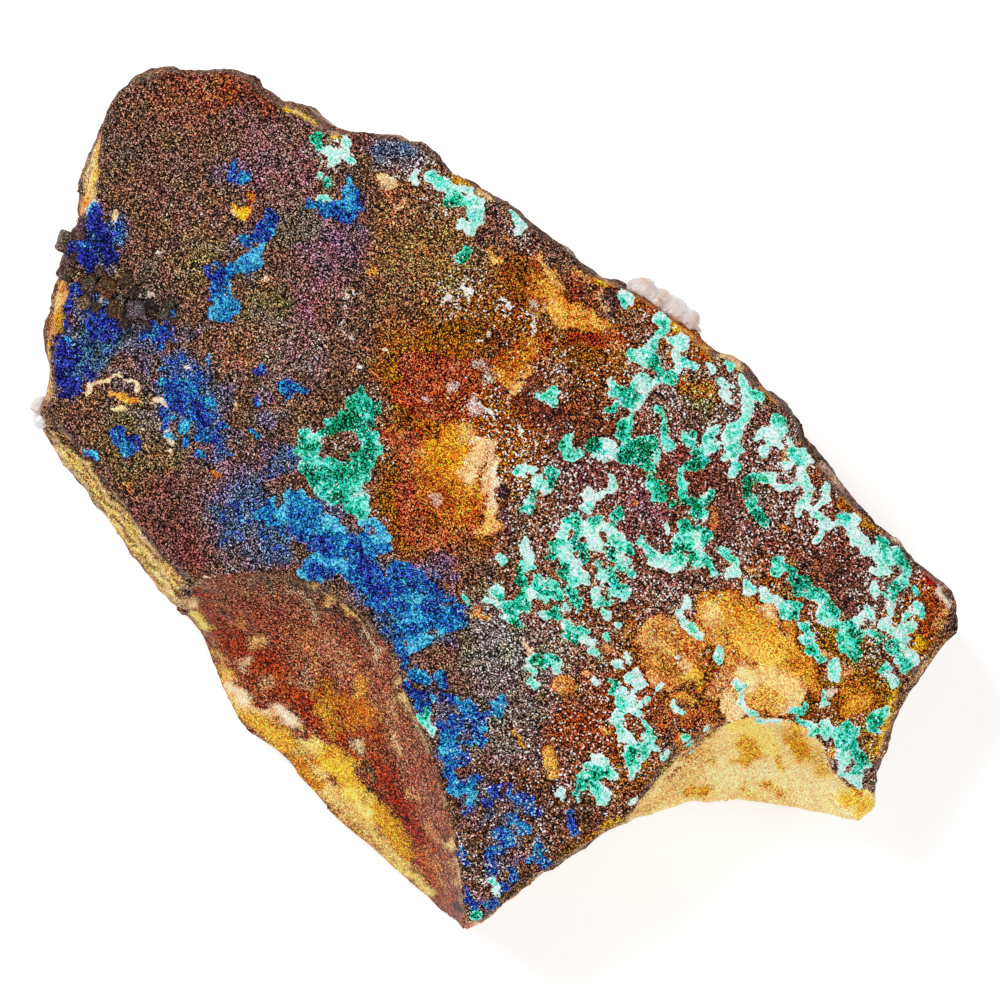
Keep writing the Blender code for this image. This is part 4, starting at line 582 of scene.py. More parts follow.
        (0.85, [(62, 73, 0.4), (62.4, 73.4, 0.35), (63, 73.9, 0.35)]),
        (0.8, [(64.2, 72, 0.25), (64.6, 73.2, 0.3)]), (0.7, [(65.1, 73.8, 0.35), (65.1, 74.4, 0.35)]),
        (0.65, [(63.8, 74.4, 0.45), (64.2, 75.4, 0.5)]), (0.3, [(63.1, 75.2, 0.35), (63.3, 75.8, 0.3)]),
        (0.5, [(62.8, 75, 0.35), (62.9, 76, 0.35)]), (0.75, [(63.4, 76.6, 0.4), (63.2, 77.4, 0.3)]),
        (0.25, [(61.2, 68.4, 0.3), (61.3, 68.8, 0.25)]), (1, [(62.8, 65.8, 0.25), (62.9, 65.9, 0.2)]),
        (1, [(59.6, 68, 0.25), (59.7, 68.1, 0.2)]), (0.95, [(63.3, 80, 0.2), (63.6, 80.4, 0.25)]),
    ],
    "star": [
        (0.95, [(59.6, 75.6, 0.4), (60, 76.2, 0.5)]), (0.3, [(58.8, 77, 0.4), (59.4, 77.6, 0.5)]),
        (0.5, [(60.2, 76.8, 0.45), (60.8, 77.2, 0.4)]), (0.85, [(60.9, 77.2, 0.4), (61.4, 77.8, 0.3)]),
        (0.25, [(58.2, 78.2, 0.35), (57.6, 79, 0.3)]), (0.4, [(59.4, 78.2, 0.4), (59.8, 78.8, 0.4)]),
        (0.8, [(58, 77.2, 0.3), (58.1, 77.5, 0.25)]), (0.7, [(59.4, 79, 0.3), (60, 79.8, 0.4)]),
        (0.85, [(60.3, 78.6, 0.3), (60.4, 79.4, 0.25)]), (0.5, [(57.9, 79.8, 0.25), (57.8, 80, 0.2)]),
        (0.93, [(56.1, 79.3, 0.3), (56.3, 79.3, 0.25)]),
    ],
    "fringe": [
        (0.6, [(42.2, 71.8, 0.4), (42.6, 72.4, 0.45)]), (0.35, [(42.7, 71.4, 0.3), (42.6, 71.8, 0.25)]),
        (0.7, [(43, 72.8, 0.3), (43.2, 73, 0.25)]), (0.35, [(47.3, 91.3, 0.35), (48, 91.8, 0.35)]),
        (0.6, [(48.9, 88.2, 0.3), (49.3, 88.6, 0.25)]), (0.95, [(49.6, 88.9, 0.2), (49.9, 89.4, 0.1)]),
    ],
}
powderPatches = [  # white and mint dust on the druse: x, y, radius, share
    (65, 38, 6, 0.34), (68, 42, 5, 0.24), (72, 41, 4, 0.36), (78, 46, 5, 0.34), (79, 51, 5, 0.4),
    (84, 56, 3, 0.05), (88.6, 58, 3, 0.34), (87.6, 63.6, 4, 0.4), (75, 56, 4, 0.3), (62, 49, 5, 0.26),
    (55, 49, 5, 0.3), (51, 45, 4, 0.34), (54, 54, 5, 0.28), (60, 56, 5, 0.36), (57, 63, 5, 0.26),
    (52, 65, 5, 0.22), (67, 53, 4, 0.2), (66, 60, 4, 0.3), (70, 60, 3, 0.24), (62, 71, 4, 0.3),
    (58, 76, 5, 0.28), (52, 74, 6, 0.16), (53, 82, 5, 0.2), (48, 85, 4, 0.2), (55, 36, 4, 0.24),
    (50.4, 30.4, 2.2, 0.3), (53.2, 31.8, 1.2, 0.4), (46, 29, 2.4, 0.3), (45.6, 19.8, 3.4, 0.24),
    (33.4, 15.2, 2.2, 0.42), (41.6, 16.6, 2.4, 0.24), (51.8, 24, 1.6, 0.3), (47.6, 39.6, 3, 0.3),
    (46.6, 25.6, 1.6, 0.2), (84, 74.6, 3.6, 0.34), (77, 60, 2.6, 0.24), (35, 29.6, 1, 0.2),
    (19.6, 22, 3, 0.06), (35, 47, 3.6, 0.16), (69, 64, 3.6, 0.2), (64, 76, 3, 0.3), (82, 62, 2.4, 0.3),
    (90, 60.6, 2, 0.3), (43, 72, 2, 0.1),
]
limonite = {  # soft limonite on the druse and in its hollows, with a few painted shadows and painted light: colour, then a line or a spot
    "basin": [
        ("#8e4826", [(41.4, 36.6, 1.6), (44.4, 37.6, 2), (48, 37.6, 1.6)]),
        ("#a04a22", [(40.6, 39.4, 1.4), (43.6, 40.4, 1.6), (47, 40.6, 1.3)]),
        ("#a8562a", [(39.6, 43.4, 1), (41.4, 44.6, 1.4), (41, 49, 1.5), (41.6, 52.6, 1.4)]),
        ("#98481f", [(47, 36.8, 0.9), (47.6, 39.4, 0.9), (46.4, 40.6, 0.8)]),
        ("#b06230", [(42.4, 54.4, 0.9), (44.6, 53.4, 0.8), (47, 52.8, 0.7)]),
    ],
    "pit": [
        ("#c07020", [(43, 45.6, 1.8), (43.6, 48.6, 2), (45.6, 51.4, 1.6)]),
        ("#cc801e", [(45.4, 48.6, 2), (47, 50, 1.2)]), ("#d8941e", [(43.6, 45.6, 1.5),
        (45.4, 43.4, 1.2), (46, 46.4, 1.7)]), ("#d8a850", [(46.4, 42.6, 0.8), (47, 44, 0.7)]),
        ("#b85c1a", [(44.2, 49.6, 0.9), (45.6, 50.2, 0.7)]),
        ("#c0561a", [(47.9, 50.4, 0.7), (47.4, 51.8, 0.7)]),
        # d8b47c and #f0e4c8 draw the pit's eastern cliff: ochre, with painted light where the cliff faces the
        # light
        ("#d49028", [(46.6, 48.4, 0.8), (48, 49.2, 0.7)]), ("#e6c888", [(48.1, 44.6, 0.9),
        (47.6, 45.8, 0.9), (46.9, 47, 0.8), (47, 47.8, 0.7)]), ("#d8b47c", [(49.3, 44.4, 0.6),
        (49.2, 46.4, 0.7), (48.9, 48.6, 0.7), (49.2, 51, 0.5)]), ("#e4b85c", [(48.8, 51.4, 0.6),
        (49.4, 52.6, 0.8), (48.4, 53, 0.8)]), ("#f0e4c8", [(49.5, 46.2, 0.25), (49.4, 48.4, 0.2),
        (49.6, 50.2, 0.2)]), ("#43302e", [(50.1, 48.2, 0.3), (50.4, 49.6, 0.35), (50.5, 51.8, 0.35),
        (50.9, 53.2, 0.4)]), ("#c89058", [(41.8, 45.2, 0.5), (41.2, 45.9, 0.4)]),
        ("#c8b09c", [(43.3, 49.6, 0.3), (43.8, 50.4, 0.3)]),
    ],
    "gouge": [
        ("#b8661c", [(53.6, 27.2, 0.7), (53.4, 29.2, 0.9), (53.8, 31.2, 0.8)]),
        ("#dcae58", [(54.2, 26, 0.45), (55, 27.6, 0.4), (56, 29, 0.35)]),
        ("#dc9c30", [(54.7, 28.8, 0.8), (55.4, 30.6, 1.2), (56.6, 31.6, 1.2)]),
        ("#e8b048", [(55, 30.6, 0.7), (55.8, 32, 0.8), (57.2, 32.4, 0.6)]),
        ("#d28a2a", [(57.4, 31.6, 0.9), (59.2, 32.2, 0.9), (60.6, 33, 0.7)]),
        ("#e0a844", [(57.6, 30.9, 0.35), (59, 31.6, 0.5), (60.2, 32.4, 0.4)]),
        ("#b0561a", [(60.6, 33.4, 0.6), (62.2, 34.2, 0.6)]),
        # 903a16 is a painted shadow under the gouge's lower edge
        ("#903a16", [(57.4, 33.8, 0.6), (60.4, 34.2, 0.6)]),
        ("#d8a868", [(61, 34.4, 0.18), (61.6, 35.1, 0.22)]),
        ("#d8a868", [(62.1, 34.8, 0.18), (62.6, 35.6, 0.22)]),
        ("#7c4a2c", [(57.2, 28.2, 0.7), (58.6, 30, 0.8)]),
        ("#46302c", [(61, 29.6, 0.8), (61.1, 31, 0.9)]), ("#e0b880", [(60.4, 28.8, 0.22),
        (59.8, 30, 0.3), (60.4, 31.1, 0.22)]), ("#c8904c", [(57.6, 27.2, 0.3), (59, 28, 0.25)]),
    ],
    "chip": [
        ("#b4601c", [(50.2, 36.4, 1), (52.6, 35.4, 1.3), (53.6, 34.2, 0.9)]),
        ("#c8741c", [(53.4, 34.4, 0.8), (52.4, 36, 0.9), (51, 37.4, 0.8)]),
        ("#a04410", [(54.5, 33.8, 0.5), (54.7, 34.8, 0.4)]),
        ("#e09c34", [(49.6, 37.4, 0.4), (50.6, 38.4, 0.5)]),
        ("#e4801c", [(51, 38.5, 0.5), (51.6, 38.4, 0.4)]),
        ("#e8c064", [(51, 39.6, 0.4), (51.7, 38.9, 0.45)]),
        ("#e0b050", [(52.2, 37.8, 0.3), (53.2, 36.8, 0.25)]),
        ("#dcb068", [(53.9, 34.9, 0.25), (54.1, 35.6, 0.2)]),
        ("#c0a888", [(50.6, 39.8, 0.2), (51.1, 41.4, 0.2)]),
    ],
    "dome": [
        ("#e6c88c", [(72.4, 69.4, 0.6), (72.8, 70.4, 0.9), (73.4, 71.4, 0.9)]),
        ("#dca040", [(71.6, 62, 2.2), (75.6, 64.4, 3.4), (78.2, 67.6, 3), (75.6, 68.6, 2.6)]),
        ("#d8942c", [(71, 60.4, 1.3), (73.6, 60.6, 1.4), (76.4, 62, 1.4)]),
        ("#e8b440", [(71.4, 61, 1.2), (71.6, 63, 1.1)]),
        ("#ecca74", [(71.1, 60.8, 0.8), (71.3, 62, 0.8)]),
        ("#e09a2c", [(74, 61.2, 1.1), (76, 62.6, 1.4)]),
        ("#d0782a", [(73.4, 59.5, 0.7), (74.9, 60.2, 0.5)]), ("#e8ac38", [(74.2, 64, 1.2),
        (77, 64.4, 1.6), (79, 66, 1.5)]), ("#ecc44c", [(74.8, 64.6, 0.9), (77, 66, 0.9)]),
        ("#e8bc60", [(75, 68, 1.7), (78, 68.6, 1.8)]),
        ("#f0dc94", [(74.2, 66.8, 0.6), (75, 68.2, 0.8)]),
        ("#efcf78", [(76.6, 67.4, 0.8), (79, 68.6, 1)]), ("#dc942a", [(79.8, 65.6, 0.8),
        (80.9, 67.2, 0.9), (81.3, 68.8, 0.6)]), ("#d07c20", [(79.4, 66.4, 0.4), (80.4, 66.6, 0.4)]),
        ("#e0a844", [(76.4, 69.8, 1.2), (77.6, 70.6, 0.9)]),
        ("#e8ca80", [(79.8, 69.6, 0.8), (78.8, 70.6, 0.7)]),
        ("#d89630", [(80.9, 68.7, 0.4), (81.2, 69, 0.3)]),
        ("#e09c30", [(78.7, 62.2, 0.55), (79.2, 63.2, 0.45)]),
        # b87828 and #9a5c2c are painted shadows between the dome's lumps
        ("#f2d490", [(76.3, 60.7, 0.3), (77.1, 61.5, 0.25)]), ("#b87828", [(73, 65, 0.25),
        (74.6, 66.3, 0.3), (76.2, 66.5, 0.2)]), ("#9a5c2c", [(72.4, 63.4, 0.35), (73, 64.2, 0.25)]),
        ("#5c4850", [(77.9, 62.2, 0.25), (78.4, 63.4, 0.2)]),
    ],
    "field": [
        ("#dcaa5c", [(66, 63.8, 2.4), (68, 66, 2.4), (66.2, 67.6, 1.6)]), ("#cc8838", [(66, 62.6, 0.9),
        (68.6, 64.6, 1.5), (70.4, 63.4, 1)]), ("#c47e34", [(65, 65.6, 1.2), (67.4, 67.4, 1.3),
        (69.4, 66.4, 1.3)]), ("#e0a850", [(64.5, 62.7, 0.55), (64.6, 64, 0.5)]),
        ("#d89c40", [(65.6, 65.8, 0.7), (65.4, 66.6, 0.6)]),
        ("#e8bc60", [(67.1, 64.7, 0.4), (67.3, 65, 0.35)]),
        ("#f0c838", [(69, 67.2, 0.75), (69.9, 67.6, 0.7)]),
        ("#f6e0a8", [(68.4, 66.7, 0.3), (68.6, 66.8, 0.3)]),
        ("#e8aa2c", [(69.8, 68.9, 0.45), (69.9, 69.1, 0.4)]),
        ("#e4a63c", [(67.3, 69.5, 0.45), (69.1, 69.7, 0.45)]),
        ("#c8884c", [(72.4, 67.4, 0.9), (71.4, 69.2, 0.8)]),
        ("#d89038", [(69.8, 62.4, 0.6), (70.2, 64.6, 0.6)]),
        ("#b06428", [(68.4, 71.4, 1), (70.4, 71.2, 0.9)]),
        ("#a8602c", [(66.8, 70.6, 0.8), (66.4, 72.2, 0.7)]),
        ("#c07c3c", [(67.6, 73.4, 0.6), (68.6, 75.2, 0.5)]),
        ("#b87038", [(71.2, 72.4, 0.6), (69.6, 74, 0.5)]),
        ("#c0783c", [(62.9, 62.6, 0.4), (62.6, 63.4, 0.3)]),
    ],
    "east": [
        ("#d8861c", [(85, 68.8, 1.1), (86.2, 70, 1.2), (84.6, 71, 0.9)]),
        ("#b8681c", [(85.1, 68.4, 0.5), (85.8, 69, 0.4)]),
        ("#e4982c", [(86.2, 69.9, 0.6), (85.4, 70.4, 0.6)]),
        ("#cc9050", [(84.3, 67.2, 0.5), (85.2, 67, 0.4)]),
        ("#e4ccb4", [(83.2, 69.2, 0.5), (83.5, 69.3, 0.4)]),
        ("#dcac5c", [(83, 75.1, 0.6), (83.3, 75.4, 0.6)]),
        ("#dca858", [(82.3, 65.4, 0.35), (83.1, 65.5, 0.3)]),
        ("#b87040", [(85.4, 72, 0.6), (86.4, 71.8, 0.4)]),
        ("#c8883c", [(78.1, 52.6, 0.4), (78.3, 52.8, 0.4)]),
        ("#9a8a3c", [(79.1, 55.9, 0.5), (79.3, 56.1, 0.4)]),
        ("#b88a58", [(78.4, 45.2, 0.4), (78.6, 45.4, 0.3)]),
        ("#c89a50", [(74.8, 56.8, 0.4), (75, 56.9, 0.4)]),
    ],
    "olive": [
        ("#8c6a24", [(68.4, 38.6, 0.8), (70, 38.8, 1), (71.2, 39.4, 0.7)]),
        ("#a87c24", [(68.6, 38.4, 0.5), (69.6, 38.6, 0.5)]),
    ],
    "spots": [
        ("#ecb828", [(23.9, 20.9, 0.45), (24.6, 21.5, 0.55)]),
        ("#f4dca0", [(23, 21.3, 0.25), (23.5, 21.5, 0.25)]),
        ("#c06c28", [(24.9, 19.5, 0.4), (25.2, 20.4, 0.5)]),
        ("#dca43c", [(50.6, 23.8, 0.3), (50.7, 24, 0.3)]),
        ("#d0a04c", [(49, 25.3, 0.5), (49.5, 26, 0.55)]),
        ("#b08a2c", [(37.1, 26.9, 0.4), (37.5, 27.1, 0.4)]),
        ("#d8c890", [(38.4, 17.7, 0.6), (39, 18.3, 0.6)]),
        ("#c8a070", [(39.6, 20.8, 0.5), (40.2, 20.6, 0.4)]),
        ("#9a6438", [(38.9, 19.4, 0.5), (39.2, 19.8, 0.5)]),
        ("#a8743c", [(42.7, 24.8, 0.4), (43, 25.2, 0.3)]),
        ("#d8b040", [(21.4, 9.9, 0.25), (21.6, 10.1, 0.2)]),
        ("#c8a838", [(20.1, 13.4, 0.25), (20.3, 13.6, 0.2)]),
        ("#d08828", [(21.5, 47.2, 0.35), (21.8, 47.4, 0.35)]),
        ("#a87840", [(12.7, 48.5, 0.5), (12.9, 48.9, 0.4)]), ("#e8ba44", [(11.5, 39.6, 0.35),
        (12.8, 39.8, 0.5), (13.8, 40.3, 0.35)]), ("#e8dc98", [(11.4, 40.9, 0.3), (12.2, 40.9, 0.25)]),
        ("#e8e4b8", [(15.5, 39.8, 0.35), (16.1, 40.4, 0.45), (17, 40.3, 0.3)]),
        ("#e4dcb4", [(14.2, 40.5, 0.12), (15.8, 40.5, 0.12)]), ("#d8caa0", [(8.8, 39.1, 0.3),
        (9.4, 38.6, 0.3), (11, 37.8, 0.3), (12.2, 37.6, 0.35)]),
        ("#ecdcb8", [(13.2, 38.3, 0.35), (13.8, 38.6, 0.3)]),
        ("#d8ccb0", [(16.8, 42.9, 0.25), (17.1, 44.8, 0.2)]),
        ("#d8cc98", [(11.6, 21.2, 0.2), (11.6, 22.6, 0.2)]),
        ("#ecd0c0", [(10.3, 29.8, 0.3), (10.4, 29.8, 0.25)]),
        ("#e8d0c8", [(14.9, 29.4, 0.35), (15.1, 29.6, 0.3)]),
        ("#e0d8d0", [(16, 25.1, 0.25), (16.6, 25.3, 0.15)]),
        ("#d2a050", [(47.7, 61, 0.25), (48.8, 61.8, 0.35)]),
        ("#d8b890", [(52.6, 64, 0.25), (52.8, 65.1, 0.3)]),
        ("#dca850", [(55.9, 68, 0.7), (56, 68.9, 0.7)]),
        ("#c88036", [(56.8, 68.2, 0.8), (57, 69, 0.7)]),
        ("#d8a058", [(58.6, 67.2, 0.4), (58.8, 67.4, 0.4)]),
        ("#d8a040", [(51.6, 73.3, 0.25), (52.2, 74.5, 0.35)]), ("#dca43c", [(55, 74.8, 0.6),
        (54.9, 76.2, 0.8), (55.3, 77.4, 0.5)]), ("#d8a040", [(60.5, 72.9, 0.45), (60.7, 73.1, 0.4)]),
        ("#d0a04c", [(63.4, 50.3, 0.25), (63.6, 50.3, 0.25)]),
        ("#b87840", [(60.6, 64.9, 0.5), (60.8, 65.2, 0.4)]),
        ("#c8a060", [(55.1, 53.5, 0.3), (55.3, 53.7, 0.3)]),
        ("#c07c40", [(71.3, 51, 0.4), (71.3, 52.5, 0.4)]),
        ("#c8b494", [(23.4, 40.7, 0.25), (23.5, 40.9, 0.25)]),
        ("#c8b494", [(26.6, 27.7, 0.2), (26.8, 27.9, 0.2)]),
    ],
    "white": [
        ("#f0eee4", [(44.6, 30.1, 0.4), (44.8, 30.1, 0.4)]), ("#dce4dc", [(45.4, 27.8, 0.2),
        (46.4, 28.6, 0.3), (46.9, 29.6, 0.35), (46.8, 30.4, 0.2)]),
        ("#e8e4d8", [(18.6, 36, 0.12), (19.3, 37.6, 0.14)]),
        ("#c8ccc8", [(47.2, 33.9, 0.18), (48.9, 33.4, 0.25)]),
        ("#c8a078", [(46.3, 34.2, 0.15), (47.6, 35.9, 0.3)]),
        ("#b8c0b4", [(47.9, 36.4, 0.25), (48.8, 37.9, 0.3)]),
        ("#dce4e0", [(47.3, 40.2, 0.35), (47.5, 41.2, 0.35)]),
        ("#d4e4e0", [(48.3, 40.4, 0.35), (49.2, 41.6, 0.4)]),
        ("#d8d4cc", [(42.5, 39.8, 0.3), (42.8, 40.2, 0.25)]),
        ("#e0dcd4", [(45, 38.4, 0.3), (45.3, 38.8, 0.25)]),
        ("#e0e4dc", [(51.9, 42.6, 0.3), (52.2, 43.2, 0.3)]),
        ("#c8c8c4", [(50.2, 30, 0.3), (51, 30.8, 0.4)]),
        ("#d8d8d0", [(53.3, 31.8, 0.35), (53.4, 33.2, 0.3)]),
        ("#d0d4cc", [(53, 30.2, 0.25), (53.2, 30.5, 0.25)]),
        ("#d8ccb8", [(38.2, 35.2, 0.2), (38.7, 35.5, 0.25)]),
        ("#e8e4dc", [(36, 36.5, 0.25), (36.5, 36.8, 0.2)]), ("#c8c0b0", [(34.6, 28.8, 0.15),
        (35, 29.6, 0.2), (34.1, 30.2, 0.2), (34.8, 30.6, 0.2), (34.4, 31.6, 0.15), (34.4, 33.2, 0.2),
        (35, 34, 0.2)]),
    ],
}
rind = {  # the pale and orange layers that show outside the dark crust, along the slab's edge
    "northWest": [
        ("#e0a468", [(9.6, 14.2, 0.35), (9.2, 16, 0.6), (9.3, 18, 0.6), (8.9, 19.6, 0.6)]),
        ("#f0d4a8", [(9, 14.8, 0.3), (8.7, 17, 0.35), (8.6, 18.8, 0.3)]),
        ("#dc8248", [(8.4, 20, 0.6), (8.1, 21, 0.5)]),
        ("#b8dce8", [(8.9, 21.4, 0.25), (9.3, 20.5, 0.25)]),
    ],
    "west": [
        ("#d08040", [(6.4, 28.6, 0.5), (5.9, 30.4, 0.6), (5.6, 31.6, 0.5), (5.2, 33, 0.5)]),
        ("#e8b478", [(6, 29.4, 0.25), (5.4, 31, 0.25)]),
        ("#c8844c", [(4.9, 33.4, 0.4), (4.7, 34.8, 0.35)]), ("#c89868", [(4.7, 35.6, 0.22),
        (4.9, 37.4, 0.2), (4.7, 39.2, 0.22)]),
    ],
    "north": [
        ("#dcae68", [(28.7, 11.1, 0.25), (30, 11.4, 0.3), (31.2, 12, 0.3), (32.5, 12.7, 0.25),
        (34, 13.8, 0.2)]), ("#a8643a", [(29.2, 10.5, 0.25), (31.4, 11.1, 0.4), (33.4, 12.2, 0.4),
        (35, 13.3, 0.3)]), ("#c07a34", [(45.3, 17.6, 0.3), (46.8, 18.1, 0.35), (48, 18.8, 0.3)]),
        ("#d4a884", [(48.2, 19.1, 0.3), (49.4, 20, 0.25)]),
    ],
    "northEast": [
        ("#c88440", [(59.6, 27.8, 0.3), (60.6, 28.3, 0.35), (61.6, 28.5, 0.3)]),
        ("#a8501c", [(63.4, 30.3, 0.5), (65.4, 30.6, 0.5), (66.8, 31.4, 0.5), (67.8, 32.6, 0.6)]),
        ("#b8602a", [(68.2, 33, 0.6), (69.6, 34.2, 0.6), (70.6, 35.4, 0.5)]),
        ("#dc9448", [(67.4, 32.4, 0.3), (68.2, 33.2, 0.35), (68.8, 33.6, 0.3)]),
        ("#c8a078", [(72, 35.6, 0.3), (73, 35.8, 0.4), (74, 37, 0.3)]), ("#a8642c", [(75.8, 38.8, 0.3),
        (76.8, 39.6, 0.35), (77.6, 40.4, 0.25)]),
    ],
    "east": [
        ("#b09080", [(82.2, 46.4, 0.3), (83.6, 47.8, 0.4), (84.8, 49.4, 0.35)]),
        ("#a8601e", [(84.4, 50.2, 0.35), (86, 51.6, 0.45), (87.8, 53, 0.35)]),
        ("#d8b0a0", [(88.6, 53.4, 0.25), (90.2, 54, 0.25)]),
    ],
    "tip": [
        ("#8a4434", [(92, 58.4, 0.9), (93.2, 60.6, 1.1), (92.6, 63, 0.8)]),
        ("#a83c30", [(92.7, 57.5, 0.4), (92.9, 57.9, 0.4)]), ("#d8c0b4", [(94, 59.2, 0.4),
        (94.4, 59.8, 0.4), (94.8, 60.4, 0.3)]), ("#b87860", [(94.4, 61.2, 0.6), (93.6, 62.6, 0.5)]),
        ("#cc8c50", [(92, 64.2, 0.5), (91.2, 65.6, 0.4), (90.6, 66.8, 0.3)]),
    ],
    "southEast": [
        ("#c88a50", [(89.6, 69.2, 0.35), (88.9, 71, 0.4), (88.4, 73, 0.35), (87.8, 75.4, 0.35)]),
        ("#8a5a3c", [(87.2, 73.4, 0.6), (86.9, 75.6, 0.5)]),
    ],
    "southWest": [
        ("#9a4c24", [(46, 91.8, 0.5), (45, 90.8, 0.5)]),
        ("#b07060", [(46.6, 92.6, 0.5), (47, 92.8, 0.4)]),
    ],
    "south": [
        ("#8c5a38", [(56.4, 85.4, 0.2), (58, 84.4, 0.2), (60, 83, 0.2)]),
        ("#a87448", [(60.4, 82.6, 0.25), (62.4, 81.6, 0.3)]),
    ],
}
layeredEdge = {  # thin layers laid bare along the south-western edge
    "outward": (-0.7, 0.7),  # the way each next layer lies from the inner line
    "line": [
        (6.2, 44), (7.8, 45.4), (9, 46.2), (9.9, 47.4), (10.4, 48.8), (11.4, 50), (12.8, 51), (13.8, 52.4),
        (14.9, 54), (16.2, 55.4), (17.6, 56.8), (18.6, 58.2),
    ],
    "layers": [  # mm outwards, half width, colour
        (0.1, 0.22, "#3c2a22"), (0.5, 0.25, "#c8a07c"), (0.85, 0.2, "#6a4632"), (1.2, 0.3, "#d8b080"),
        (1.65, 0.25, "#5a4030"), (2, 0.3, "#e0bc88"), (2.45, 0.25, "#a06c44"), (2.9, 0.35, "#c8a070"),
    ],
}
